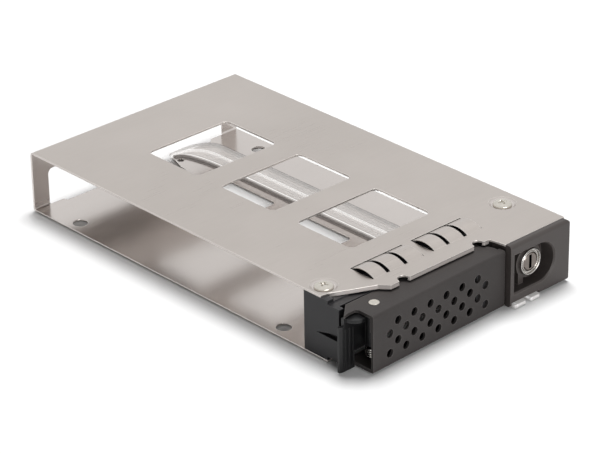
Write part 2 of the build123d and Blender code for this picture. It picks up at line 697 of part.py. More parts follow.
def light_guide(index):
    """One clear guide with its raised ribs and the lens tip that shows below the lock."""
    gap = GUIDE_SPLIT / (GUIDE_X1 - GUIDE_X0)
    share0 = (0.5 + gap / 2) * index
    share1 = 0.5 - gap / 2 + (0.5 + gap / 2) * index
    front = LOCK_SHEET_FRONT_Y - 0.15
    body = guide_band(share0, share1, front, SHEET_T, GUIDE_Z1)
    step = (share1 - share0) / GUIDE_RIB_COUNT
    for i in range(GUIDE_RIB_COUNT):
        share = share0 + (i + 0.5) * step
        body += guide_band(
            share - GUIDE_RIB_SHARE / 2, share + GUIDE_RIB_SHARE / 2, BEZEL_REAR_Y + 0.5, GUIDE_Z1 - 0.1,
            GUIDE_Z1 + GUIDE_RIB_H,
        )
    x0 = guide_strand(share0)[0][0] + (0 if index == 0 else 0.8)
    width = GUIDE_TIP_WIDTHS[index]
    tip = block(x0, x0 + width, GUIDE_TIP_Y, front + 0.02, GUIDE_TIP_Z0, GUIDE_Z1 - 0.1)
    tip = fillet(tip.edges().filter_by(Axis.Z).group_by(Axis.Y)[0], 0.4)
    return body + tip


def cover_front_y(x):
    """Y of the handle's front face, which stands a little off square, at a given X."""
    share = (x - COVER_X0) / (COVER_X1 - COVER_X0)
    return COVER_FRONT_LEFT_Y + share * (COVER_FRONT_RIGHT_Y - COVER_FRONT_LEFT_Y)


def vent_centres():
    """Centres of the staggered holes in the handle's front, as X and Z."""
    centres = []
    for row, count in enumerate(VENT_ROWS):
        z = VENT_CENTRE_Z + ((len(VENT_ROWS) - 1) / 2 - row) * VENT_PITCH_Z
        for i in range(count):
            centres.append((VENT_CENTRE_X + (i - (count - 1) / 2) * VENT_PITCH_X, z))
    return centres


def cover_plan():
    """Plan of the handle: front wall, bent right wall, flanges and the ear over the latch."""
    wall_end = cover_front_y(COVER_X1) + COVER_T + COVER_LIP
    wall_x = COVER_X1 - COVER_T
    return [
        (COVER_X0, cover_front_y(COVER_X0)), (COVER_X1, cover_front_y(COVER_X1)), (COVER_X1, wall_end),
        (wall_x, wall_end), (wall_x, COVER_REAR_Y), (COVER_EAR_REAR_X, COVER_REAR_Y),
        (COVER_EAR_X, COVER_EAR_Y - 0.4), (COVER_EAR_X + 1.8, COVER_EAR_Y), (COVER_X0 - 0.6, COVER_EAR_Y),
        (COVER_X0, COVER_EAR_Y - 0.7),
    ]


def handle_cover():
    """Folded and perforated channel that forms the handle's front, top and bottom."""
    body = prism(cover_plan(), COVER_Z0, COVER_Z1)
    folds = [e for e in body.edges() if e.length > 40 and e.center().Y < COVER_FRONT_LEFT_Y + 3]
    body = fillet(folds, COVER_EDGE_R)
    left, wall_x = COVER_X0 - 9, COVER_X1 - COVER_T
    inside = [
        (left, cover_front_y(left) + COVER_T), (wall_x, cover_front_y(wall_x) + COVER_T),
        (wall_x, COVER_REAR_Y + 1), (left, COVER_REAR_Y + 1),
    ]
    body -= prism(inside, COVER_Z0 + COVER_T, COVER_Z1 - COVER_T)
    body -= block(
        COVER_EAR_X - 1, COVER_X0, COVER_FRONT_LEFT_Y - 1, COVER_REAR_Y + 1, COVER_Z0 - 1,
        COVER_Z1 - COVER_T - 1,
    )
    corner = block(
        HINGE_X + KNUCKLE_R, COVER_X1 + 1, HINGE_Y, COVER_REAR_Y + 1, COVER_Z0 - 1, COVER_Z1 + 1
    )
    body -= corner - post(HINGE_X, HINGE_Y, COVER_Z0 - 2, COVER_Z1 + 2, wall_x - HINGE_X)
    lip_y = cover_front_y(COVER_X0) + COVER_T
    body += block(
        COVER_X0, COVER_X0 + COVER_T, lip_y - COVER_T / 2, lip_y + COVER_LEFT_LIP, COVER_LIP_Z,
        COVER_Z1 - COVER_T / 2,
    )
    for x, z in vent_centres():
        body -= rod(x, z, COVER_FRONT_LEFT_Y - 1, COVER_FRONT_RIGHT_Y + 2, VENT_D / 2)
    return body - post(LATCH_X, LATCH_Y, COVER_Z0 - 1, COVER_Z1 + 1, LATCH_PIN_D / 2)


def hinge_block():
    """Moulded block inside the handle's right end, with the knuckle that turns on the hinge pin."""
    z0, z1 = LUG_Z + LUG_T + LUG_GAP, upper_lug_z() - LUG_GAP
    x0, x1 = HINGE_X - HINGE_BLOCK_L, HINGE_X - KNUCKLE_R - 0.3

    def inner(x):
        return cover_front_y(x) + COVER_T

    base = [(x0, inner(x0)), (x1, inner(x1)), (x1, inner(x0) + HINGE_BLOCK_T), (x0, inner(x0) + HINGE_BLOCK_T)]
    arm = [(x0, inner(x0)), (HINGE_X, inner(HINGE_X)), (HINGE_X, HINGE_Y), (x0, HINGE_Y)]
    body = prism(base, COVER_Z0 + COVER_T, COVER_Z1 - COVER_T) + prism(arm, z0, z1)
    body += post(HINGE_X, HINGE_Y, z0, z1, KNUCKLE_R)
    return body - post(HINGE_X, HINGE_Y, 0, TRAY_H, HINGE_PIN_D / 2 + HINGE_FIT)


def hinge_pin():
    """Steel pin pressed in the bezel's lugs."""
    return post(HINGE_X, HINGE_Y, LUG_Z, upper_lug_z() + LUG_T, HINGE_PIN_D / 2)


def latch_lever():
    """Latch with a finger tab beyond the tray's side, a spool for the spring and a barb."""
    z0, z1 = COVER_Z0 + COVER_T + LATCH_END_GAP, COVER_Z1 - COVER_T - LATCH_END_GAP
    hub = post(LATCH_X, LATCH_Y, LATCH_SPOOL_Z, z1, LATCH_HUB_R)
    hub += post(LATCH_X, LATCH_Y, z0, LATCH_SPOOL_Z, LATCH_SPOOL_R)
    tab_y1 = LATCH_TAB_Y + LATCH_TAB_T
    tab_plan = [
        (LATCH_TAB_X, tab_y1), (LATCH_TAB_X, LATCH_TAB_Y + 0.3), (LATCH_TAB_X + 0.8, LATCH_TAB_Y),
        (LATCH_FOOT_X, LATCH_TAB_Y), (LATCH_FOOT_X, tab_y1),
    ]
    tab = prism(tab_plan, LATCH_FOOT_Z, LATCH_TAB_Z1)
    tab += block(LATCH_TAB_X + 1.3, LATCH_FOOT_X, LATCH_TAB_Y, tab_y1, LATCH_TAB_Z1 - 0.5, z1)
    web = block(LATCH_FOOT_X - 0.5, LATCH_X, LATCH_TAB_Y, tab_y1, LATCH_SPOOL_Z, z1)
    grip = post(LATCH_FOOT_X, LATCH_TAB_Y, z1 - LATCH_TAB_T, z1, LATCH_GRIP_R)
    web += grip & block(LATCH_TAB_X, LATCH_FOOT_X + 0.5, LATCH_TAB_Y - 9, tab_y1, 0, TRAY_H)
    for i in range(LATCH_RIB_COUNT):
        x = LATCH_TAB_X + 1.5 + i * 1.3
        tab -= block(x, x + 0.35, LATCH_TAB_Y - 1, LATCH_TAB_Y + 0.2, 1.2, LATCH_TAB_Z1 - 1.0)
    half = BARB_STEM_W / 2
    stem = block(LATCH_X - half, LATCH_X + half, LATCH_Y, BARB_REACH_Y, *BARB_Z)
    tip = prism(
        [
            (LATCH_X + half - 0.2, BARB_REACH_Y), (LATCH_X + half + BARB_HOOK * 0.3, BARB_REACH_Y),
            (LATCH_X + half + BARB_HOOK, BARB_REACH_Y - BARB_T * 0.6),
            (LATCH_X + half + BARB_HOOK, BARB_REACH_Y - BARB_T), (LATCH_X + half - 0.2, BARB_REACH_Y - BARB_T),
        ],
        *BARB_Z,
    )
    body = hub + tab + web + stem + tip
    return body - post(LATCH_X, LATCH_Y, 0, TRAY_H, LATCH_PIN_D / 2 + HINGE_FIT)


def latch_pin():
    """Riveted pin through both flanges of the handle, with its bright head on top."""
    pin = post(LATCH_X, LATCH_Y, COVER_Z0, COVER_Z1, LATCH_PIN_D / 2)
    head = post(LATCH_X, LATCH_Y, COVER_Z1, COVER_Z1 + LATCH_HEAD_T, LATCH_HEAD_D / 2)
    head = chamfer(head.edges().filter_by(GeomType.CIRCLE).group_by(Axis.Z)[-1], LATCH_HEAD_T / 2)
    return pin + head


def latch_spring():
    """Torsion spring wound round the latch's spool."""
    z0 = COVER_Z0 + COVER_T + LATCH_END_GAP + SPRING_WIRE_D / 2
    path = Pos(LATCH_X, LATCH_Y, z0) * Helix(SPRING_PITCH, SPRING_PITCH * SPRING_TURNS, SPRING_COIL_R)
    section = Plane(origin=path @ 0, z_dir=path % 0) * RegularPolygon(SPRING_WIRE_D / 2, 6)
    return sweep(section, path=path)


def lock_barrel():
    """Fixed body of the key lock, with its bright front ring."""
    head = rod(LOCK_X, LOCK_Z, LOCK_FRONT_Y, LOCK_FRONT_Y + LOCK_HEAD_T, LOCK_HEAD_D / 2)
    head = chamfer(head.edges().filter_by(GeomType.CIRCLE).group_by(Axis.Y)[0], 0.25)
    body = rod(LOCK_X, LOCK_Z, LOCK_FRONT_Y + LOCK_HEAD_T, LOCK_BODY_REAR_Y, LOCK_BODY_D / 2)
    bore = rod(LOCK_X, LOCK_Z, LOCK_FRONT_Y - 1, LOCK_BODY_REAR_Y + 1, PLUG_D / 2 + PLUG_FIT)
    return head + body - bore


def lock_plug():
    """Turning core with its keyway, the driver disc behind it and the crank pin."""
    y0 = LOCK_FRONT_Y + PLUG_SINK
    plug = rod(LOCK_X, LOCK_Z, y0, DRIVER_FRONT_Y, PLUG_D / 2)
    plug = chamfer(plug.edges().filter_by(GeomType.CIRCLE).group_by(Axis.Y)[0], 0.3)
    keyway = block(
        LOCK_X - KEYWAY_W / 2, LOCK_X + KEYWAY_W / 2, y0 - 1, y0 + KEYWAY_DEPTH, LOCK_Z - KEYWAY_H / 2,
        LOCK_Z + KEYWAY_H / 2,
    )
    driver = rod(LOCK_X, LOCK_Z, DRIVER_FRONT_Y, DRIVER_FRONT_Y + DRIVER_T, DRIVER_D / 2)
    offset_xz = CRANK_R * cos(pi / 4)
    crank = rod(
        LOCK_X - offset_xz, LOCK_Z + offset_xz, DRIVER_FRONT_Y + DRIVER_T - 0.2, BOLT_REAR_Y, CRANK_PIN_D / 2
    )
    return plug - keyway + driver + crank


def lock_nut():
    """Hexagon nut that holds the lock to the web of the housing."""
    y0 = HOUSING_CAVITY_Y + WASHER_T
    hexagon = RegularPolygon(NUT_AF / 2, 6, major_radius=False)
    nut = Pos(LOCK_X, 0, LOCK_Z) * along_y(hexagon, y0, y0 + NUT_T)
    return nut - rod(LOCK_X, LOCK_Z, y0 - 1, y0 + NUT_T + 1, LOCK_BODY_D / 2)


def lock_washer():
    """Flat washer under the nut."""
    y0 = HOUSING_CAVITY_Y
    ring = rod(LOCK_X, LOCK_Z, y0, y0 + WASHER_T, WASHER_D / 2)
    return ring - rod(LOCK_X, LOCK_Z, y0 - 1, y0 + WASHER_T + 1, LOCK_BODY_D / 2)


def lock_bolt():
    """Flat bolt that the crank pin pushes out through the side of the housing."""
    half = BOLT_H / 2
    plate = block(BOLT_X0, TRAY_X1 - 0.2, BOLT_FRONT_Y, BOLT_REAR_Y, LOCK_Z - half, LOCK_Z + half)
    crank_x = LOCK_X - BOLT_TRAVEL / 2
    slot_w = CRANK_PIN_D + 2 * BOLT_SLOT_CLEAR
    low = LOCK_Z + BOLT_TRAVEL / 2 - CRANK_PIN_D / 2 - BOLT_SLOT_CLEAR
    high = LOCK_Z + CRANK_R + CRANK_PIN_D / 2 + BOLT_SLOT_CLEAR
    slot = block(crank_x - slot_w / 2, crank_x + slot_w / 2, BOLT_FRONT_Y - 1, BOLT_REAR_Y + 1, low, high)
    slot = fillet(slot.edges().filter_by(Axis.Y), 0.5)
    return plate - slot


def bolt_retainer():
    """Cover plate that closes the back of the housing behind the bolt."""
    plate = block(
        CAVITY_X0 + RETAINER_MARGIN, CAVITY_X1 - RETAINER_MARGIN, RETAINER_FRONT_Y, BEZEL_REAR_Y,
        CAVITY_Z0 + RETAINER_MARGIN, CAVITY_Z1 - RETAINER_MARGIN,
    )
    for x, z in retainer_screw_places():
        plate -= rod(x, z, RETAINER_FRONT_Y - 1, BEZEL_REAR_Y + 1, RETAINER_SCREW_D / 2 + 0.1)
    return plate


def retainer_screws():
    """Two small slotted screws of the retainer."""
    y0 = BEZEL_REAR_Y
    pair = []
    for x, z in retainer_screw_places():
        shank = rod(x, z, y0 - RETAINER_SCREW_L, y0, RETAINER_SCREW_D / 2)
        head = rod(x, z, y0, y0 + RETAINER_SCREW_HEAD_H, RETAINER_SCREW_HEAD_D / 2)
        slot_y = y0 + RETAINER_SCREW_HEAD_H / 2
        pair.append(shank + head - block(x - 2, x + 2, slot_y, y0 + 1, z - 0.2, z + 0.2))
    return Compound(children=pair)


def screws(z, up, sink):
    """The pair of bezel screws on one face of the tray."""
    return Compound(children=[screw(x, z, up, sink) for x in (-SCREW_X, SCREW_X)])


os.makedirs("parts", exist_ok=True)
parts = {
    "tray_shell": tray_shell(),
    "front_bezel": front_bezel(),
    "lock_housing": lock_housing(),
    "light_guide_inner": light_guide(0),
    "light_guide_outer": light_guide(1),
    "top_bezel_screws": screws(TRAY_H, True, TOP_SCREW_SINK),
    "bottom_bezel_screws": screws(0, False, BOTTOM_SCREW_SINK),
    "hinge_pin": hinge_pin(),
    "lock_barrel": lock_barrel(),
    "lock_washer": lock_washer(),
    "lock_nut": lock_nut(),
    "lock_plug": lock_plug(),
    "lock_bolt": lock_bolt(),
    "bolt_retainer": bolt_retainer(),
    "retainer_screws": retainer_screws(),
    "handle_cover": handle_cover(),
    "hinge_block": hinge_block(),
    "latch_pin": latch_pin(),
    "latch_lever": latch_lever(),
    "latch_spring": latch_spring(),
}
for name, shape in parts.items():
    export_step(shape, f"parts/{name}.step")
    print(name, round(shape.volume, 1))
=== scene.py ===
"""Looks of a carrier tray for a 2.5-inch drive.

The tray is folded steel, with a black bezel, a swing handle, a sprung latch and a key lock.
"""

import logging
import math
from dataclasses import dataclass, field
from enum import Enum
from typing import Dict, List, Sequence, Tuple, Union

import bmesh
import bpy
import numpy as np
from mathutils import Matrix


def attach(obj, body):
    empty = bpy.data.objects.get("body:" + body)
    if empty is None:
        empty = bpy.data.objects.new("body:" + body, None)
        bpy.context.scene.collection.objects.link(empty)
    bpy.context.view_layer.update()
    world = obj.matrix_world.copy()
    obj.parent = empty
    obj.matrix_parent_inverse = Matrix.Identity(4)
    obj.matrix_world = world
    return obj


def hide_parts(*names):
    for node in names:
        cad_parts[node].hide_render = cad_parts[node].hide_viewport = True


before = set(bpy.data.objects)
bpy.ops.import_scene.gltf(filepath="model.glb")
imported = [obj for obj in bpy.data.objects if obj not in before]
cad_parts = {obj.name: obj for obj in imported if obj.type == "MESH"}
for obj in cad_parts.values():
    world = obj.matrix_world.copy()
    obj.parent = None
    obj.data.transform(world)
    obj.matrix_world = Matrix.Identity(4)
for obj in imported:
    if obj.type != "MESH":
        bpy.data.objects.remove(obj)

log = logging.getLogger("drive_tray")
MM = 0.001
Number = Union[int, float]
Colour = Tuple[float, float, float]
Pair = Tuple[float, float]
Surface = Tuple[np.ndarray, np.ndarray]


class Side(Enum):
    """Which face of the tray a screw sits in, as the direction of its head along Z."""

    TOP = 1.0
    BOTTOM = -1.0


def linear(red: Number, green: Number, blue: Number) -> Colour:
    """Turns a colour of a screen into the linear one that shaders use.

    Args:
        red: Red from 0 to 255.
        green: Green from 0 to 255.
        blue: Blue from 0 to 255.

    Returns:
        The linear colour, each from 0 to 1.
    """
    values = np.array([red, green, blue], dtype=float) / 255.0
    low = values / 12.92
    high = ((values + 0.055) / 1.055) ** 2.4
    return tuple(float(v) for v in np.where(values <= 0.04045, low, high))


def toned(colour: Colour, factor: float, lift: float = 0.0) -> Colour:
    """Colour multiplied by a factor and lifted, with 1 as its limit."""
    return tuple(min(1.0, c * factor + lift) for c in colour)


class Wire:
    """A shader socket that can be used in a Python expression."""

    def __init__(self, kit: "NodeKit", socket: bpy.types.NodeSocket) -> None:
        """Wraps one output socket."""
        self.kit = kit
        self.socket = socket

    def _math(self, operation: str, *values: Union["Wire", Number]) -> "Wire":
        """Adds one Math node and returns its result."""
        return self.kit.node("ShaderNodeMath", {"operation": operation}, dict(enumerate(values)))

    def __add__(self, other: Union["Wire", Number]) -> "Wire":
        """Sum."""
        return self._math("ADD", self, other)

    __radd__ = __add__

    def __sub__(self, other: Union["Wire", Number]) -> "Wire":
        """Difference."""
        return self._math("SUBTRACT", self, other)

    def __rsub__(self, other: Union["Wire", Number]) -> "Wire":
        """Difference, reflected."""
        return self._math("SUBTRACT", other, self)

    def __mul__(self, other: Union["Wire", Number]) -> "Wire":
        """Product."""
        return self._math("MULTIPLY", self, other)

    __rmul__ = __mul__

    def __abs__(self) -> "Wire":
        """Value without its sign."""
        return self._math("ABSOLUTE", self)

    def clamped(self, low: float = 0.0, high: float = 1.0) -> "Wire":
        """Value kept between two limits."""
        return self.kit.node("ShaderNodeClamp", {}, {"Value": self, "Min": low, "Max": high})


class NodeKit:
    """Adds nodes to one tree."""

    def __init__(self, tree: bpy.types.NodeTree) -> None:
        """Empties the tree."""
        self.tree = tree
        self.tree.nodes.clear()

    def node(
        self,
        kind: str,
        settings: Dict[str, object],
        inputs: Dict[Union[str, int], object],
        result: Union[str, int] = 0,
    ) -> Wire:
        """Adds a node, sets it up and wires it.

        Args:
            kind: Type of the node.
            settings: Properties that are set first.
            inputs: Values or wires of its sockets.
            result: Output socket that is handed back.

        Returns:
            The chosen output as a wire.
        """
        made = self.tree.nodes.new(kind)
        for key, value in settings.items():
            setattr(made, key, value)
        for key, value in inputs.items():
            self.feed(made.inputs[key], value)
        return Wire(self, made.outputs[result])

    def feed(self, socket: bpy.types.NodeSocket, value: object) -> None:
        """Links a wire to a socket, or sets the socket's own value.

        Args:
            socket: Input socket.
            value: Wire, number, vector or colour.
        """
        if isinstance(value, Wire):
            self.tree.links.new(value.socket, socket)
        elif isinstance(value, tuple) and len(value) == 3 and socket.type == "RGBA":
            socket.default_value = (*value, 1.0)
        else:
            socket.default_value = value


class ShaderKit(NodeKit):
    """Builds one node material."""

    def __init__(self, name: str) -> None:
        """Makes an empty material with a principled shader and its output.

        Args:
            name: Name of the material.
        """
        self.material = bpy.data.materials.new(name)
        self.material.use_nodes = True
        super().__init__(self.material.node_tree)
        output = self.tree.nodes.new("ShaderNodeOutputMaterial")
        self.shader = self.tree.nodes.new("ShaderNodeBsdfPrincipled")
        self.tree.links.new(self.shader.outputs[0], output.inputs["Surface"])

    def surface(self, **sockets: object) -> None:
        """Sets sockets of the principled shader, with _ for a space in their names."""
        for key, value in sockets.items():
            self.feed(self.shader.inputs[key.replace("_", " ")], value)

    def place(self, scale: Tuple[float, float, float] = (1.0, 1.0, 1.0)) -> Wire:
        """Object coordinates in metres, stretched by a scale.

        Args:
            scale: Factor along X, Y and Z.

        Returns:
            The stretched place.
        """
        coordinates = self.node("ShaderNodeTexCoord", {}, {}, "Object")
        stretch = {"Vector": coordinates, "Scale": scale}
        return self.node("ShaderNodeMapping", {"vector_type": "POINT"}, stretch)

    def axis(self, number: int) -> Wire:
        """One object coordinate in metres: 0 for X, 1 for Y and 2 for Z."""
        coordinates = self.node("ShaderNodeTexCoord", {}, {}, "Object")
        return self.node("ShaderNodeSeparateXYZ", {}, {0: coordinates}, number)

    def carried(self, name: str) -> Wire:
        """Number that the mesh carries at its points."""
        return self.node("ShaderNodeAttribute", {"attribute_name": name}, {}, "Fac")

    def ramp(self, value: Wire, start: float, stop: float) -> Wire:
        """Value spread from 0 at the start to 1 at the stop, and held outside them."""
        return self.node("ShaderNodeMapRange", {}, {"Value": value, "From Min": start, "From Max": stop})

    def stripes(self, value: Wire, lines: Sequence[Pair]) -> Wire:
        """Soft lines: 1 near the middle of each, falling to 0 at half its width to either side.

        Args:
            value: Wire that runs across the lines.
            lines: Middle and half width of each line.

        Returns:
            The sum of the lines, kept between 0 and 1.
        """
        core = 0.4
        parts = [self.ramp(abs(value - middle), half, half * core) for middle, half in lines]
        return sum(parts[1:], parts[0]).clamped()

    def noise(self, where: Wire, scale: float, detail: float, roughness: float) -> Wire:
        """Noise from 0 to 1 with its middle at 0.5.

        Args:
            where: Place that it is read at.
            scale: Number of grains in a metre of that place.
            detail: Number of finer layers.
            roughness: Share of the finer layers.

        Returns:
            The noise.
        """
        return self.node(
            "ShaderNodeTexNoise",
            {"noise_dimensions": "3D"},
            {"Vector": where, "Scale": scale, "Detail": detail, "Roughness": roughness},
        )

    def blend(self, share: Union[Wire, Number], low: object, high: object) -> Wire:
        """Mixes two colours: all low at a share of 0, all high at 1."""
        return self.node("ShaderNodeMix", {"data_type": "RGBA"}, {0: share, 6: low, 7: high}, 2)

    def bump(self, height: Wire, strength: float, distance: float, base: Wire) -> Wire:
        """Normal that follows a height, drawn on top of another normal.

        Args:
            height: Height from 0 to 1.
            strength: Share of the effect.
            distance: Metres of a height of 1.
            base: Normal below it.

        Returns:
            The normal.
        """
        inputs = {"Height": height, "Strength": strength, "Distance": distance, "Normal": base}
        return self.node("ShaderNodeBump", {}, inputs)

    def soft_edge(self, radius: float) -> Wire:
        """Normal that rounds the edges of a form by a small radius."""
        return self.node("ShaderNodeBevel", {"samples": 4}, {"Radius": radius})

    def edge_highlight_mask(self, radius: float) -> Wire:
        """Mask of the edges of a form, along which the finishes paint a highlight.

        It compares the rounded normal with the plain one by the cosine between them.

        Args:
            radius: Reach of an edge in metres.

        Returns:
            1 along the edges and 0 elsewhere.
        """
        flat, at_edge = 0.985, 0.80
        plain = self.node("ShaderNodeNewGeometry", {}, {}, "Normal")
        pair = {0: self.soft_edge(radius), 1: plain}
        cosine = self.node("ShaderNodeVectorMath", {"operation": "DOT_PRODUCT"}, pair, "Value")
        return self.ramp(cosine, flat, at_edge)


@dataclass(frozen=True)
class SheetSteel:
    """Stainless sheet with a fine lay, cloudy stains from handling and a painted highlight along its edges.

    Everywhere below the outer face of the top, the steel is painted lighter as painted light against the
    shade inside the tray. The floor is smoother than the rest, and the bent lip at the front is rougher.
    Places are metres of the object's own axes.
    """

    name: str = "tray_sheet_steel"
    light: Colour = linear(196, 189, 184)
    dark: Colour = linear(174, 167, 161)
    # Near-white colour of the painted highlight along the edges.
    painted_edge_highlight: Colour = linear(250, 246, 241)
    # Tone range below the top's outer face, painted lighter than the outside as painted light.
    inner_painted_light: Colour = linear(209, 203, 199)
    inner_painted_dark: Colour = linear(192, 185, 181)
    roughness: float = 0.30
    floor_roughness: float = 0.2
    lip_roughness: float = 0.3
    lay_scale: Tuple[float, float, float] = (90.0, 2600.0, 900.0)
    fine_scale: float = 2600.0
    cloud_scale: float = 22.0
    smudge_scale: float = 70.0
    edge: float = 0.0003
    relief: float = 0.00002
    floor_z: Pair = (0.0006, 0.003)
    outside_z: Pair = (0.01645, 0.0167)
    lip_y: Pair = (-0.0555, -0.0565)

    def make(self) -> bpy.types.Material:
        """Builds the material.

        Returns:
            The material.
        """
        kit = ShaderKit(self.name)
        grain = kit.noise(kit.place(self.lay_scale), 1.0, 3.0, 0.6)
        fine = kit.noise(kit.place(), self.fine_scale, 2.0, 0.6)
        cloud = kit.noise(kit.place(), self.cloud_scale, 4.0, 0.6)
        smudge = kit.noise(kit.place((1.0, 1.6, 1.0)), self.smudge_scale, 3.0, 0.5)
        tone = (cloud * 0.75 + grain * 0.35 + smudge * 0.2 - 0.15).clamped()
        outside = kit.ramp(kit.axis(2), *self.outside_z)
        dull = kit.blend(tone, self.dark, self.light)
        # Painted light: the lighter copy of the steel stands in for light in the shaded inside of the tray.
        painted_lit_inside = kit.blend(tone, self.inner_painted_dark, self.inner_painted_light)
        # Painted highlight: the edges are painted towards a near-white colour, in patches.
        edge_highlight = kit.edge_highlight_mask(self.edge) * (cloud * 0.8 + 0.3)
        lip = kit.ramp(kit.axis(1), *self.lip_y) * (1 - outside)
        above = kit.ramp(kit.axis(2), *self.floor_z)
        rough = above * (self.roughness - self.floor_roughness) + self.floor_roughness
        rough = rough + lip * self.lip_roughness
        uneven = (cloud - 0.5) * 0.08 + (grain - 0.5) * 0.10 + (smudge - 0.5) * 0.05
        kit.surface(
            Base_Color=kit.blend(edge_highlight, kit.blend(outside, painted_lit_inside, dull), self.painted_edge_highlight),
            Metallic=1.0,
            Roughness=(rough + uneven).clamped(),
            Normal=kit.bump(grain * 0.6 + fine * 0.4, 0.16, self.relief, kit.soft_edge(self.edge)),
        )
        return kit.material


@dataclass(frozen=True)
class MouldedPlastic:
    """Black moulded plastic with a spark-eroded grain, faint flow marks, dust and a painted highlight along
    its edges.
    """

    name: str
    colour: Colour
    shine: float = 0.42
    grain_size: float = 3200.0
    grain_depth: float = 0.000012
    edge: float = 0.00016
    gloss: float = 0.34
    dust_from: Pair = (0.70, 0.80)

    def make(self) -> bpy.types.Material:
        """Builds the material.

        Returns:
            The material.
        """
        kit = ShaderKit(self.name)
        grain = kit.noise(kit.place(), self.grain_size, 2.0, 0.5)
        flow = kit.noise(kit.place((1.0, 0.5, 2.0)), 60.0, 3.0, 0.5)
        dust = kit.noise(kit.place(), 900.0, 4.0, 0.7)
        specks = kit.ramp(dust, *self.dust_from).clamped()
        body = kit.blend(flow, toned(self.colour, 0.8), toned(self.colour, 1.15))
        # Painted highlight: the edges are painted about three times lighter, in patches.
        edge_highlight_mask = kit.edge_highlight_mask(self.edge * 2.0) * (flow * 0.6 + 0.3)
        skin = kit.blend(edge_highlight_mask, body, toned(self.colour, 3.0, 0.03))
        rough = self.shine + (flow - 0.5) * 0.14 + (grain - 0.5) * 0.12 + specks * 0.1
        kit.surface(
            Base_Color=kit.blend(specks * 0.35, skin, toned(self.colour, 2.0, 0.006)),
            Roughness=rough.clamped(),
            Specular_IOR_Level=self.gloss,
            Normal=kit.bump(grain, 0.5, self.grain_depth, kit.soft_edge(self.edge)),
        )
        return kit.material


@dataclass(frozen=True)
class PowderCoat:
    """Satin powder coat: an orange-peel skin over the folded sheet, with fine grit and a painted highlight
    along its edges.
    """

    name: str = "handle_powder_coat"
    colour: Colour = linear(60, 57, 56)
    shine: float = 0.46
    gloss: float = 0.1
    peel_scale: float = 1500.0
    grit_scale: float = 4200.0
    edge: float = 0.0004
    relief: float = 0.00002

    def make(self) -> bpy.types.Material:
        """Builds the material.

        Returns:
            The material.
        """
        kit = ShaderKit(self.name)
        peel = kit.noise(kit.place(), self.peel_scale, 2.0, 0.5)
        grit = kit.noise(kit.place(), self.grit_scale, 2.0, 0.6)
        wear = kit.noise(kit.place(), 120.0, 4.0, 0.6)
        tone = (wear * 0.7 + grit * 0.5 - 0.1).clamped()
        coat = kit.blend(tone, toned(self.colour, 0.82), toned(self.colour, 1.2))
        # Painted highlight: the edges are painted about three times lighter, in patches.
        edge_highlight_mask = kit.edge_highlight_mask(self.edge) * (wear * 0.6 + 0.35)
        kit.surface(
            Base_Color=kit.blend(edge_highlight_mask, coat, toned(self.colour, 3.2, 0.05)),
            Roughness=(self.shine + (peel - 0.5) * 0.14 + (wear - 0.5) * 0.10).clamped(),
            Specular_IOR_Level=self.gloss,
            Normal=kit.bump(peel * 0.7 + grit * 0.3, 0.45, self.relief, kit.soft_edge(self.edge)),
        )
        return kit.material


@dataclass(frozen=True)
class PlatedMetal:
    """Plated or turned metal of the small hardware, hazy and finely scratched."""

    name: str
    colour: Colour
    roughness: float = 0.22
    stain: float = 0.25
    scratch_scale: Tuple[float, float, float] = (900.0, 5200.0, 2400.0)
    edge: float = 0.00008
    relief: float = 0.000008

    def make(self) -> bpy.types.Material:
        """Builds the material.

        Returns:
            The material.
        """
        kit = ShaderKit(self.name)
        haze = kit.noise(kit.place(), 900.0, 3.0, 0.6)
        scratch = kit.noise(kit.place(self.scratch_scale), 1.0, 2.0, 0.6)
        tone = (haze * 0.7 + scratch * 0.3).clamped()
        kit.surface(
            Base_Color=kit.blend(tone, toned(self.colour, 1.0 - self.stain), self.colour),
            Metallic=1.0,
            Roughness=(self.roughness + (haze - 0.5) * 0.12 + (scratch - 0.5) * 0.10).clamped(),
            Normal=kit.bump(scratch, 0.25, self.relief, kit.soft_edge(self.edge)),
        )
        return kit.material


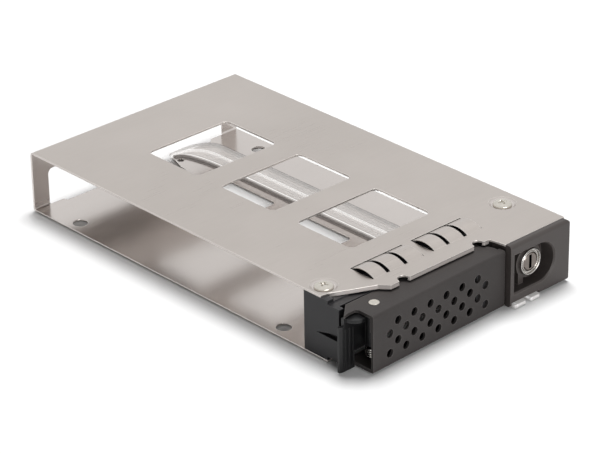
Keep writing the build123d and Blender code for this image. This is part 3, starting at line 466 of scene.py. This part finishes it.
@dataclass(frozen=True)
class ClearAcrylic:
    """Clear moulded guide: milky body with drawn streaks and frosted tips, painted highlight lines on its
    ribs and painted shade lines along its outer edges.

    The painted lines of the ribs and edges are given by their middle and half width, as a share of the way
    across both guides.
    """

    name: str = "guide_clear_acrylic"
    tint: Colour = linear(226, 224, 222)
    # Near-white colour of the painted highlight lines on the ribs.
    bright: Colour = linear(250, 250, 250)
    # Colour of the painted shade lines along the outer edges.
    deep: Colour = linear(128, 121, 117)
    # Strength of the painted emission of the body, as a share of its tint.
    carried: float = 0.66
    body: float = 0.46
    roughness: float = 0.12
    ribs: Tuple[Pair, ...] = ((0.085, 0.026), (0.52, 0.014))
    edges: Tuple[Pair, ...] = ((0.0, 0.026), (1.0, 0.024))
    streak_scale: Tuple[float, float, float] = (620.0, 14.0, 300.0)
    tip_y: Pair = (-0.0668, -0.0678)
    soft: float = 0.0001
    relief: float = 0.00002

    def make(self) -> bpy.types.Material:
        """Builds the material; the light that the guide carries is a dim emission of its body and ribs.

        Returns:
            The material.
        """
        kit = ShaderKit(self.name)
        across = kit.carried("across")
        streak = kit.noise(kit.place(self.streak_scale), 1.0, 2.0, 0.5)
        cloud = kit.noise(kit.place(), 200.0, 3.0, 0.5)
        tip = kit.ramp(kit.axis(1), *self.tip_y)
        # Painted highlight lines on the ribs and painted shade lines along the outer edges, in base colour
        # and cover.
        rib_highlight = kit.stripes(across, self.ribs)
        edge = kit.stripes(across, self.edges) * (1 - tip)
        body = kit.blend(streak, toned(self.tint, 0.88), self.tint)
        # Painted light: body and ribs emit a dim light of their own, off along the edges and at the tips.
        painted_glow_body = kit.blend(streak, toned(self.tint, self.carried * 0.9), toned(self.tint, self.carried))
        painted_glow = kit.blend(rib_highlight, painted_glow_body, toned(self.bright, 0.85))
        unlit = (edge + tip * 0.92).clamped()
        cover = tip * 0.5 + rib_highlight * 0.4 + edge * 0.3 + (streak - 0.5) * 0.08 + self.body
        kit.surface(
            Base_Color=kit.blend(edge, kit.blend(rib_highlight, body, self.bright), self.deep),
            Roughness=(self.roughness + tip * 0.3 + (cloud - 0.5) * 0.06).clamped(0.02, 1.0),
            IOR=1.49,
            Specular_IOR_Level=0.5,
            Emission_Color=kit.blend(unlit, painted_glow, (0.0, 0.0, 0.0)),
            Emission_Strength=1.0,
            Alpha=cover.clamped(),
            Normal=kit.bump(streak, 0.08, self.relief, kit.soft_edge(self.soft)),
        )
        return kit.material


def dress(node: str, material: bpy.types.Material) -> None:
    """Gives a carried CAD node a finish.

    Args:
        node: Name of the node.
        material: Finish for all its slots.
    """
    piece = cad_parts[node]
    if not piece.material_slots:
        piece.data.materials.append(material)
    for slot in piece.material_slots:
        slot.link = "OBJECT"
        slot.material = material
    log.info("dressed %s with %s", node, material.name)


def mesh_piece(
    name: str, points: np.ndarray, faces: np.ndarray, material: bpy.types.Material, smooth: bool = True
) -> bpy.types.Object:
    """Makes a mesh object at the origin.

    Args:
        name: Name of the piece.
        points: Array of n by 3 positions in metres.
        faces: Array of m by 4 or m by 3 corner numbers.
        material: Finish.
        smooth: Whether its faces are shaded smooth.

    Returns:
        The new object.
    """
    mesh = bpy.data.meshes.new(name)
    mesh.from_pydata(points.tolist(), [], faces.tolist())
    mesh.validate()
    mesh.polygons.foreach_set("use_smooth", np.full(len(mesh.polygons), smooth))
    mesh.materials.append(material)
    mesh.update()
    piece = bpy.data.objects.new(name, mesh)
    bpy.context.scene.collection.objects.link(piece)
    log.info("made %s, %d faces", name, len(mesh.polygons))
    return piece


def grid_faces(rows: int, columns: int) -> np.ndarray:
    """Quads of a grid whose rows close into rings.

    Args:
        rows: Number of rows of points.
        columns: Number of points in a row.

    Returns:
        Array of corner numbers.
    """
    i = np.arange(rows - 1)[:, None] * columns
    j = np.arange(columns)[None, :]
    k = (j + 1) % columns
    quads = np.stack([i + j, i + k, i + columns + k, i + columns + j], axis=-1)
    return quads.reshape(-1, 4)


def arc_profile(points: Sequence[Pair], radius: float, steps: int) -> np.ndarray:
    """Rounds each inner corner of a profile.

    Each corner becomes a quadratic curve between the points that lie the radius away from it
    on its two runs: (1-t)^2 a + 2 t (1-t) corner + t^2 b. On a short run they lie nearer.

    Args:
        points: Corners as radius and height.
        radius: Distance at which the rounding starts.
        steps: Number of parts of each rounding.

    Returns:
        Array of points.
    """
    largest_share = 0.45
    plain = np.array(points, dtype=float)
    t = np.linspace(0.0, 1.0, steps + 1)[:, None]
    runs = [plain[:1]]
    for before, corner, after in zip(plain[:-2], plain[1:-1], plain[2:]):
        back, ahead = before - corner, after - corner
        a = corner + back * min(largest_share, radius / np.linalg.norm(back))
        b = corner + ahead * min(largest_share, radius / np.linalg.norm(ahead))
        runs.append((1 - t) ** 2 * a + 2 * t * (1 - t) * corner + t**2 * b)
    runs.append(plain[-1:])
    return np.concatenate(runs)


def turned(profile: np.ndarray, segments: int) -> Surface:
    """Surface of revolution: each profile point goes round the Z axis.

    Args:
        profile: Points as radius and height, in order.
        segments: Number of points round.

    Returns:
        Points and faces.
    """
    angle = np.linspace(0.0, 2 * np.pi, segments, endpoint=False)[None, :]
    radius, height = profile[:, 0][:, None], profile[:, 1][:, None]
    points = np.stack([radius * np.cos(angle), radius * np.sin(angle), height + 0 * angle], axis=-1)
    return points.reshape(-1, 3), grid_faces(len(profile), segments)


def tube(path: np.ndarray, radius: float, sides: int) -> Surface:
    """Round tube along a path.

    At each point the ring lies in the plane across the path's direction, spanned by the vertical
    made square to it and by the cross product of the two.

    Args:
        path: Points of the middle line.
        radius: Radius of the tube.
        sides: Number of sides.

    Returns:
        Points and faces, with both ends closed.
    """
    way = np.gradient(path, axis=0)
    way /= np.linalg.norm(way, axis=1)[:, None]
    up = np.array([0.0, 0.0, 1.0]) - way * way[:, 2:3]
    up /= np.linalg.norm(up, axis=1)[:, None]
    across = np.cross(way, up)
    angle = np.linspace(0.0, 2 * np.pi, sides, endpoint=False)[None, :, None]
    spokes = np.cos(angle) * across[:, None, :] + np.sin(angle) * up[:, None, :]
    rings = path[:, None, :] + radius * spokes
    points = np.concatenate([rings.reshape(-1, 3), path[:1], path[-1:]])
    faces = grid_faces(len(path), sides)
    first, last = len(path) * sides, len(path) * sides + 1
    j = np.arange(sides)
    k = (j + 1) % sides
    start = np.stack([k, j, np.full(sides, first), np.full(sides, first)], axis=-1)
    base = (len(path) - 1) * sides
    end = np.stack([base + j, base + k, np.full(sides, last), np.full(sides, last)], axis=-1)
    return points, np.concatenate([faces, start, end])


def tidy(piece: bpy.types.Object) -> None:
    """Merges doubled points and turns the faces outwards.

    Args:
        piece: Object whose mesh is cleaned.
    """
    doubled, degenerate = 1e-7, 1e-8
    made = bmesh.new()
    made.from_mesh(piece.data)
    bmesh.ops.remove_doubles(made, verts=made.verts, dist=doubled)
    bmesh.ops.dissolve_degenerate(made, edges=made.edges, dist=degenerate)
    bmesh.ops.recalc_face_normals(made, faces=made.faces)
    made.to_mesh(piece.data)
    made.free()
    piece.data.update()


@dataclass
class TraySheet:
    """The folded steel tray."""

    finish: SheetSteel = SheetSteel()

    def build(self) -> None:
        """Dresses the carried sheet."""
        dress("tray_shell", self.finish.make())


@dataclass
class BezelScrews:
    """Four pan-head screws with a cross recess, one domed surface for each head."""

    x: float = 30.24
    y: float = -51.7
    height: float = 16.8
    head_radius: float = 2.4
    head_height: float = 0.95
    rim_share: float = 0.22
    sinks: Dict[Side, float] = field(default_factory=lambda: {Side.TOP: 0.55, Side.BOTTOM: 1.0})
    recess_radius: float = 1.25
    recess_depth: float = 0.55
    recess_slope: float = 0.2
    wing: float = 0.28
    wing_slope: float = 0.09
    pit_radius: float = 0.55
    pit_slope: float = 0.16
    first_turn: float = 0.35
    next_turn: float = 0.9
    shank_radius: float = 1.2
    shank_length: float = 4.0
    shank_end_radius: float = 0.9
    shank_chamfer: float = 0.4
    axis_gap: float = 0.01
    rounding: float = 0.1
    rounding_steps: int = 1
    shank_sides: int = 32
    finish: PlatedMetal = PlatedMetal("screw_zinc", linear(214, 209, 200), 0.2, 0.3)

    def head(self, turn: float) -> Surface:
        """Domed head with a pressed cross.

        The height over the plan is a flat-topped dome, a rim and above it sqrt(1 - (r/R)^4) times the rest
        of the head's height, less a cross-shaped recess: the smaller of |x| and |y| sets how deep a point
        lies in a wing, and a round pit in the middle joins the wings.

        Args:
            turn: Angle of the cross in radians.

        Returns:
            Points in millimetres and faces.
        """
        rows, columns, spread = 40, 96, 0.9
        share = np.linspace(0.0, 1.0, rows)[:, None] ** spread
        angle = np.linspace(0.0, 2 * np.pi, columns, endpoint=False)[None, :]
        radius = share * self.head_radius
        x, y = radius * np.cos(angle), radius * np.sin(angle)
        curve = np.sqrt(np.clip(1 - (radius / self.head_radius) ** 4, 0, 1))
        dome = self.head_height * (self.rim_share + (1 - self.rim_share) * curve)
        cx = x * math.cos(turn) + y * math.sin(turn)
        cy = -x * math.sin(turn) + y * math.cos(turn)
        narrow = np.minimum(np.abs(cx), np.abs(cy))
        reach = np.maximum(np.abs(cx), np.abs(cy))
        wing = np.clip((self.wing - narrow) / self.wing_slope, 0, 1)
        wing = wing * np.clip((self.recess_radius - reach) / self.recess_slope, 0, 1)
        centre = np.clip((self.pit_radius - radius) / self.pit_slope, 0, 1)
        z = dome - self.recess_depth * np.maximum(wing, centre)
        points = np.stack([x, y, z + 0 * angle], axis=-1).reshape(-1, 3)
        skirt = np.stack([x[-1], y[-1], 0 * y[-1]], axis=-1)
        return np.concatenate([points, skirt]), grid_faces(rows + 1, columns)

    def screw(self, number: int) -> Surface:
        """Head and shank of one screw, with the head's underside at height 0.

        Args:
            number: 0 for the left screw, 1 for the right one; it sets how the cross is turned.

        Returns:
            Points in millimetres and faces.
        """
        points, faces = self.head(self.first_turn + self.next_turn * number)
        end, start = -self.shank_length, -self.shank_length + self.shank_chamfer
        outline = [
            (self.axis_gap, end),
            (self.shank_end_radius, end),
            (self.shank_radius, start),
            (self.shank_radius, 0.0),
            (self.axis_gap, 0.0),
        ]
        profile = arc_profile(outline, self.rounding, self.rounding_steps)
        shank, shank_faces = turned(profile, self.shank_sides)
        return np.concatenate([points, shank]), np.concatenate([faces, shank_faces + len(points)])

    def build(self) -> None:
        """Makes the four screws and lets them stand for the plain ones."""
        metal = self.finish.make()
        for side, node in ((Side.TOP, "top_bezel_screws"), (Side.BOTTOM, "bottom_bezel_screws")):
            pieces = []
            for number, sign in enumerate((-1, 1)):
                points, faces = self.screw(number)
                points[:, 2] -= self.sinks[side]
                points[:, 1:] *= side.value
                level = self.height if side is Side.TOP else 0.0
                points += np.array([sign * self.x, self.y, level])
                piece = mesh_piece(f"{node}_{number}", points * MM, faces, metal)
                tidy(piece)
                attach(piece, "tray")
                pieces.append(piece)
            for piece in pieces:
                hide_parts(node)


@dataclass
class LightGuides:
    """Two clear ribbed guides on the floor of the tray.

    They are swept to the left at the rear, and their tips end below the lock. The outer edges, left and
    right, are given by their points in plan. The tips' widths and insets are those of the inner and of the
    outer guide.
    """

    left: Tuple[Pair, ...] = ((15.4, 30.0), (15.2, 40.0), (14.4, 45.4), (13.4, 48.6), (11.2, 50.6))
    right: Tuple[Pair, ...] = ((24.9, 30.0), (24.8, 42.0), (23.8, 49.0), (19.9, 51.7), (11.2, 52.2))
    end_rise: Pair = (0.2, 0.05)
    split: float = 0.2
    bezel_rear: float = -49.3
    front: float = -67.5
    low: float = 0.5
    high: float = 1.2
    rib_height: float = 0.08
    rib_share: float = 0.02
    rib_count: int = 4
    rib_start: float = 0.6
    rib_fade: float = 1.0
    tip_front: float = -70.3
    tip_low: float = 0.15
    tip_high: float = 1.1
    tip_width: Pair = (3.9, 3.2)
    tip_inset: Pair = (0.0, 0.8)
    tip_round: float = 0.4
    tip_rows: int = 6
    straight_rows: int = 30
    bend_rows: int = 12
    columns: int = 64
    finish: ClearAcrylic = ClearAcrylic()

    @staticmethod
    def curve(points: np.ndarray, ends: np.ndarray, count: int) -> np.ndarray:
        """Smooth curves through points, several at once.

        Cubic pieces whose slopes m solve m[i-1] h[i] + 2 m[i] (h[i-1] + h[i]) + m[i+1] h[i-1] =
        3 (h[i] d[i-1] + h[i-1] d[i]), with h the chord and d the slope of each piece. The end slopes
        are given.

        Args:
            points: Array of curves by points by 2.
            ends: Array of curves by 2 by 2 with the unit slopes at the start and at the end.
            count: Number of places in each piece.

        Returns:
            Array of curves by places by 2.
        """
        chords = np.linalg.norm(np.diff(points, axis=1), axis=2)
        slopes = np.diff(points, axis=1) / chords[..., None]
        size = points.shape[1]
        system = np.tile(np.eye(size), (len(points), 1, 1))
        wanted = np.zeros(points.shape)
        wanted[:, 0], wanted[:, -1] = ends[:, 0], ends[:, 1]
        inner = np.arange(1, size - 1)
        before, after = chords[:, inner - 1], chords[:, inner]
        system[:, inner, inner - 1], system[:, inner, inner + 1] = after, before
        system[:, inner, inner] = 2 * (before + after)
        weighted = after[..., None] * slopes[:, inner - 1] + before[..., None] * slopes[:, inner]
        wanted[:, inner] = 3 * weighted
        m = np.linalg.solve(system, wanted)
        t = np.linspace(0.0, 1.0, count, endpoint=False)[None, None, :, None]
        p0, p1, h = points[:, :-1, None], points[:, 1:, None], chords[:, :, None, None]
        m0, m1 = m[:, :-1, None] * h, m[:, 1:, None] * h
        runs = (2 * t**3 - 3 * t**2 + 1) * p0 + (t**3 - 2 * t**2 + t) * m0
        runs = runs + (3 * t**2 - 2 * t**3) * p1 + (t**3 - t**2) * m1
        return np.concatenate([runs.reshape(len(points), -1, 2), points[:, -1:]], axis=1)

    def shares(self, index: int) -> np.ndarray:
        """Places across one guide, as shares of the way from the left edge to the right one.

        Args:
            index: 0 for the inner guide, 1 for the outer one.

        Returns:
            Array of shares, one for each column.
        """
        gap = self.split / (self.right[0][0] - self.left[0][0])
        start = (0.5 + gap / 2) * index
        return np.linspace(start, start + 0.5 - gap / 2, self.columns)

    def plan(self, share: np.ndarray) -> np.ndarray:
        """Strands of a guide in plan: straight ones up to the bend, then smooth curves to its rear end.

        Each strand's points lie at its share between the left and the right edge, and it ends pointing to
        the left, with a rise that goes from end_rise[0] to end_rise[1] with the share.

        Args:
            share: Places across the guide.

        Returns:
            Array of rows by columns by 2.
        """
        left, right = np.array(self.left), np.array(self.right)
        strands = left + share[:, None, None] * (right - left)
        rise = self.end_rise[0] + (self.end_rise[1] - self.end_rise[0]) * share
        ahead = np.stack([0 * share, 0 * share + 1], -1)
        leftward = np.stack([0 * share - 1, rise], -1)
        ends = np.stack([ahead, leftward], axis=1)
        ends /= np.linalg.norm(ends, axis=2)[..., None]
        bend = self.curve(strands, ends, self.bend_rows).transpose(1, 0, 2)
        run = np.linspace(self.bezel_rear, self.left[0][1], self.straight_rows, endpoint=False)
        y = np.concatenate([[self.front], run])[:, None]
        x = strands[None, :, 0, 0]
        return np.concatenate([np.stack([x + 0 * y, y + 0 * x], -1), bend])

    def strip(self, index: int) -> Tuple[np.ndarray, np.ndarray, np.ndarray]:
        """One guide: the profile across it, with low rounded ribs, carried along its path.

        The height over a share s is high + rib_height times the sum of exp(-((s - rib) / width)^2).

        Args:
            index: 0 for the inner guide, 1 for the outer one.

        Returns:
            Points in millimetres, faces and the share of each point across both guides.
        """
        share = self.shares(index)
        plan = self.plan(share)
        ribs = share[0] + (np.arange(self.rib_count) + 0.5) * (share[-1] - share[0]) / self.rib_count
        lift = np.exp(-(((share[:, None] - ribs) / self.rib_share) ** 2)).sum(axis=1)
        fade = np.clip((plan[:, :, 1] - self.bezel_rear - self.rib_start) / self.rib_fade, 0, 1)
        top = self.high + self.rib_height * fade * lift
        lens, lens_top, lens_low = self.lens(index, plan[0, 0, 0])
        low = np.concatenate([lens_low, np.full(top.shape, self.low)])
        plan, top = np.concatenate([lens, plan]), np.concatenate([lens_top, top])
        upper = np.concatenate([plan, top[..., None]], -1)
        lower = np.concatenate([plan, low[..., None]], -1)[:, ::-1]
        ring = np.concatenate([upper, lower], axis=1)
        j = np.arange(self.columns - 1)
        width = 2 * self.columns
        cap = np.stack([j, j + 1, width - 2 - j, width - 1 - j], -1)
        faces = np.concatenate([grid_faces(len(ring), width), cap, cap[:, ::-1] + (len(ring) - 1) * width])
        across = np.tile(np.concatenate([share, share[::-1]]), len(ring))
        return ring.reshape(-1, 3), faces, across

    def lens(self, index: int, edge: float) -> Tuple[np.ndarray, np.ndarray, np.ndarray]:
        """Tip of a guide: a block whose upright front corners are rounded by quarter circles.

        Args:
            index: 0 for the inner guide, 1 for the outer one.
            edge: X of the guide's left edge.

        Returns:
            Places in plan, heights of its top and heights of its underside, row by row.
        """
        turn = np.linspace(0.0, np.pi / 2, self.tip_rows)
        y = np.concatenate([self.tip_front + self.tip_round * (1 - np.sin(turn)), [self.front]])
        inset = np.concatenate([self.tip_round * (1 - np.cos(turn)), [0.0]])
        order = np.argsort(y)
        y, inset = y[order], inset[order]
        x0 = edge + self.tip_inset[index]
        s = np.linspace(0.0, 1.0, self.columns)[None, :]
        x = x0 + inset[:, None] + s * (self.tip_width[index] - 2 * inset[:, None])
        plan = np.stack([x, y[:, None] + 0 * x], -1)
        return plan, np.full(x.shape, self.tip_high), np.full(x.shape, self.tip_low)

    def build(self) -> None:
        """Makes both guides and lets them stand for the plain ones."""
        clear = self.finish.make()
        for index, node in enumerate(("light_guide_inner", "light_guide_outer")):
            points, faces, across = self.strip(index)
            piece = mesh_piece(f"{node}_ribbed", points * MM, faces, clear)
            mark = piece.data.attributes.new("across", "FLOAT", "POINT")
            mark.data.foreach_set("value", across.astype(np.float32))
            tidy(piece)
            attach(piece, "tray")
            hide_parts(node)


@dataclass
class Bezel:
    """The moulded front block with the lock housing and its hidden hardware."""

    finish: MouldedPlastic = MouldedPlastic("bezel_black_plastic", linear(26, 25, 27))
    # The housing is the bezel's black plastic painted lighter and warmer: painted sheen for the floor's
    # reflection on its front.
    housing: MouldedPlastic = MouldedPlastic("housing_plastic_painted_sheen", linear(62, 57, 55))
    hardware: PlatedMetal = PlatedMetal("hardware_steel", linear(170, 168, 165), 0.3)

    def build(self) -> None:
        """Dresses the bezel and the hardware behind it."""
        black, steel = self.finish.make(), self.hardware.make()
        for node in ("front_bezel", "bolt_retainer"):
            dress(node, black)
        dress("lock_housing", self.housing.make())
        for node in ("hinge_pin", "lock_washer", "lock_nut", "retainer_screws"):
            dress(node, steel)


@dataclass
class KeyLock:
    """The lock in its recess: a plated ring turned from bar, the core and the bolt.

    The ring's face is given by steps out from the bore and depths behind the front: an inner lip, a groove
    and the foot of the outer ridge. The rim is the bevel at the ridge's outside.
    """

    x: float = 23.7
    z: float = 8.9
    front: float = -67.6
    rear: float = -58.0
    ring_radius: float = 3.5
    bore: float = 2.45
    body_radius: float = 3.0
    head: float = 0.9
    face: Tuple[Pair, ...] = ((0.0, 0.5), (0.1, 0.22), (0.26, 0.3), (0.34, 0.72), (0.62, 0.72), (0.72, 0.1))
    rim: Pair = (0.16, 0.3)
    rounding: float = 0.1
    rounding_steps: int = 3
    sides: int = 96
    chrome: PlatedMetal = PlatedMetal("lock_chrome", linear(206, 203, 199), 0.12, 0.25)
    core: PlatedMetal = PlatedMetal("lock_core_steel", linear(136, 128, 122), 0.16, 0.5)
    steel: PlatedMetal = PlatedMetal("bolt_sheet_steel", linear(180, 177, 173), 0.3)

    def ring(self) -> bpy.types.Object:
        """Barrel with its rolled ring, a closed profile turned about the lock's axis.

        Returns:
            The new piece.
        """
        length = self.rear - self.front
        bevel, depth = self.rim
        outline = [
            (self.bore, length),
            *((self.bore + out, behind) for out, behind in self.face),
            (self.ring_radius - bevel, 0.0),
            (self.ring_radius, depth),
            (self.ring_radius, self.head),
            (self.body_radius, self.head),
            (self.body_radius, length),
            (self.bore, length),
        ]
        points, faces = turned(arc_profile(outline, self.rounding, self.rounding_steps), self.sides)
        points = points[:, [0, 2, 1]]
        points += np.array([self.x, self.front, self.z])
        piece = mesh_piece("lock_ring_barrel", points * MM, faces, self.chrome.make())
        tidy(piece)
        return piece

    def build(self) -> None:
        """Makes the ring and dresses the core and the bolt."""
        piece = self.ring()
        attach(piece, "tray")
        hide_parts("lock_barrel")
        dress("lock_plug", self.core.make())
        dress("lock_bolt", self.steel.make())


@dataclass
class SwingHandle:
    """The perforated handle with its hinge moulding."""

    coat: PowderCoat = PowderCoat()
    moulding: MouldedPlastic = MouldedPlastic("hinge_block_plastic", linear(40, 39, 40))

    def build(self) -> None:
        """Dresses the carried cover and the hinge block."""
        dress("handle_cover", self.coat.make())
        dress("hinge_block", self.moulding.make())


@dataclass
class LatchSet:
    """The latch, its riveted pin and its torsion spring."""

    x: float = -25.9
    y: float = -64.0
    pin_radius: float = 1.0
    rivet_radius: float = 1.35
    rivet_height: float = 0.2
    rivet_slope: float = 0.12
    dimple_radius: float = 0.35
    dimple_slope: float = 0.05
    dimple_depth: float = 0.1
    low: float = 0.2
    high: float = 15.3
    axis_gap: float = 0.001
    rounding: float = 0.1
    rounding_steps: int = 3
    pin_sides: int = 48
    coil_radius: float = 2.0
    wire: float = 0.225
    turns: float = 4.5
    pitch: float = 0.6
    coil_low: float = 1.525
    coil_steps: int = 40
    leg: float = 2.3
    leg_steps: int = 12
    wire_sides: int = 10
    plastic: MouldedPlastic = MouldedPlastic("latch_black_plastic", linear(14, 14, 15), 0.34, 2600.0, 8e-6)
    rivet_metal: PlatedMetal = PlatedMetal("rivet_steel", linear(214, 209, 200), 0.3, 0.3)
    wire_metal: PlatedMetal = PlatedMetal("spring_wire", linear(225, 222, 216), 0.18, 0.2)

    def rivet(self) -> bpy.types.Object:
        """Pin with a spread and dimpled head: a profile turned about the pin's axis.

        Returns:
            The new piece.
        """
        top = self.high + self.rivet_height
        floor = top - self.dimple_depth
        outline = [
            (self.axis_gap, self.low),
            (self.pin_radius, self.low),
            (self.pin_radius, self.high),
            (self.rivet_radius, self.high),
            (self.rivet_radius - self.rivet_slope, top),
            (self.dimple_radius, top),
            (self.dimple_radius - self.dimple_slope, floor),
            (self.axis_gap, floor),
        ]
        points, faces = turned(arc_profile(outline, self.rounding, self.rounding_steps), self.pin_sides)
        points += np.array([self.x, self.y, 0.0])
        piece = mesh_piece("latch_rivet", points * MM, faces, self.rivet_metal.make())
        tidy(piece)
        return piece

    def spring(self) -> bpy.types.Object:
        """Torsion spring: a helix, x = r cos t, y = r sin t, z = pitch t / 2 pi, with a leg at its start.

        Returns:
            The new piece.
        """
        t = np.linspace(0.0, 2 * np.pi * self.turns, int(self.coil_steps * self.turns))
        round_x, round_y = self.coil_radius * np.cos(t), self.coil_radius * np.sin(t)
        coil = np.stack([round_x, round_y, self.pitch * t / (2 * np.pi)], axis=-1)
        share = np.linspace(1.0, 0.0, self.leg_steps, endpoint=False)[:, None]
        start = coil[0] + share * np.array([0.0, -self.leg, 0.0])
        path = np.concatenate([start, coil]) + np.array([self.x, self.y, self.coil_low])
        points, faces = tube(path, self.wire, self.wire_sides)
        piece = mesh_piece("latch_torsion_spring", points * MM, faces, self.wire_metal.make())
        tidy(piece)
        return piece

    def build(self) -> None:
        """Makes the rivet and the spring, and dresses the latch."""
        rivet, spring = self.rivet(), self.spring()
        stand_ins = ((rivet, "pin_steel", "latch_pin"), (spring, "spring_steel", "latch_spring"))
        for piece, slot, node in stand_ins:
            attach(piece, "handle")
            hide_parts(node)
        dress("latch_lever", self.plastic.make())


@dataclass(frozen=True)
class SoftLamp:
    """Square soft lamp that points at the middle of the tray.

    Its place is in metres. One that isn't mirrored gives light and shadow, and gloss doesn't show it.
    """

    name: str
    place: Tuple[float, float, float]
    size: float
    watts: float
    mirrored: bool = True

    def build(self) -> None:
        """Adds the lamp, with its own Z axis from the tray to the lamp."""
        data = bpy.data.lights.new(self.name, "AREA")
        data.shape, data.size, data.energy = "SQUARE", self.size, self.watts
        lamp = bpy.data.objects.new(self.name, data)
        z = np.array(self.place)
        z /= np.linalg.norm(z)
        x = np.cross([0.0, 0.0, 1.0], z)
        x /= np.linalg.norm(x)
        matrix = np.eye(4)
        matrix[:3, 0], matrix[:3, 1], matrix[:3, 2], matrix[:3, 3] = x, np.cross(z, x), z, self.place
        lamp.matrix_world = Matrix(matrix.tolist())
        lamp.visible_glossy = self.mirrored
        bpy.context.scene.collection.objects.link(lamp)


@dataclass
class Studio:
    """Pale floor, soft lamps, white surround and the camera of the photograph.

    The camera's angles are in degrees; its shift and distance, and its lens, are in millimetres. The floor's
    size and drop are in metres.
    """

    azimuth: float = -42.66
    elevation: float = 27.176
    roll: float = -0.921
    shift: Pair = (7.459, 1.952)
    distance: float = 731.73
    lens: float = 173.154
    sensor: float = 36.0
    clip: Pair = (0.02, 20.0)
    floor_size: float = 6.0
    floor_drop: float = 0.0002
    floor_shade: float = 0.86
    surround: float = 0.12
    lamps: Tuple[SoftLamp, ...] = (
        SoftLamp("top_softbox", (0.20, 0.13, 1.0), 0.48, 9.4, False),
        SoftLamp("top_gleam", (0.20, 0.13, 1.0), 0.48, 3.0),
        SoftLamp("front_softbox", (-0.25, -1.12, 0.22), 0.8, 10.0),
    )

    def camera(self) -> None:
        """Camera at the fitted place: its axes come from azimuth, elevation and roll."""
        a, e, r = (math.radians(v) for v in (self.azimuth, self.elevation, self.roll))
        back = np.array([math.sin(a) * math.cos(e), -math.cos(a) * math.cos(e), math.sin(e)])
        right = np.array([math.cos(a), math.sin(a), 0.0])
        up = np.cross(back, right)
        right, up = math.cos(r) * right + math.sin(r) * up, -math.sin(r) * right + math.cos(r) * up
        centre = (right * self.shift[0] + up * self.shift[1] + back * self.distance) * MM
        data = bpy.data.cameras.new("photo_camera")
        data.sensor_width, data.sensor_fit, data.lens = self.sensor, "HORIZONTAL", self.lens
        data.clip_start, data.clip_end = self.clip
        data.dof.use_dof = False
        camera = bpy.data.objects.new("photo_camera", data)
        matrix = np.eye(4)
        matrix[:3, 0], matrix[:3, 1], matrix[:3, 2], matrix[:3, 3] = right, up, back, centre
        camera.matrix_world = Matrix(matrix.tolist())
        bpy.context.scene.collection.objects.link(camera)
        bpy.context.scene.camera = camera

    def floor(self) -> None:
        """Pale matt floor that keeps the shadow, a hair below the tray."""
        kit = ShaderKit("studio_floor")
        kit.surface(Base_Color=(self.floor_shade,) * 3, Roughness=1.0, Specular_IOR_Level=0.0)
        points = np.array([[-1, -1, 0], [1, -1, 0], [1, 1, 0], [-1, 1, 0]]) * (self.floor_size / 2)
        points[:, 2] = -self.floor_drop
        piece = mesh_piece("studio_floor", points, np.array([[0, 1, 2, 3]]), kit.material, False)

    def world(self) -> None:
        """Surround that is white to the camera, in gloss and through glass, and softer as a light."""
        world = bpy.data.worlds.new("studio_world")
        bpy.context.scene.world = world
        world.use_nodes = True
        kit = NodeKit(world.node_tree)
        names = ("Is Camera Ray", "Is Glossy Ray", "Is Transmission Ray")
        seen, glossy, through = (kit.node("ShaderNodeLightPath", {}, {}, name) for name in names)
        strength = (seen + glossy + through).clamped() * (1.0 - self.surround) + self.surround
        shade = kit.node("ShaderNodeBackground", {}, {"Color": (1.0, 1.0, 1.0), "Strength": strength})
        output = kit.tree.nodes.new("ShaderNodeOutputWorld")
        kit.feed(output.inputs["Surface"], shade)

    def build(self) -> None:
        """Sets up the camera, the floor, the surround and the lamps."""
        bpy.context.scene.view_settings.view_transform = "Standard"
        self.camera()
        self.floor()
        self.world()
        for lamp in self.lamps:
            lamp.build()


def main() -> None:
    """Builds the studio and each sub-assembly in order."""
    logging.basicConfig(level=logging.INFO)
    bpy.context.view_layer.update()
    for group in (
        Studio(), TraySheet(), BezelScrews(), LightGuides(), Bezel(), KeyLock(), SwingHandle(), LatchSet()
    ):
        log.info("building %s", type(group).__name__)
        group.build()


if __name__ == "__main__":
    main()
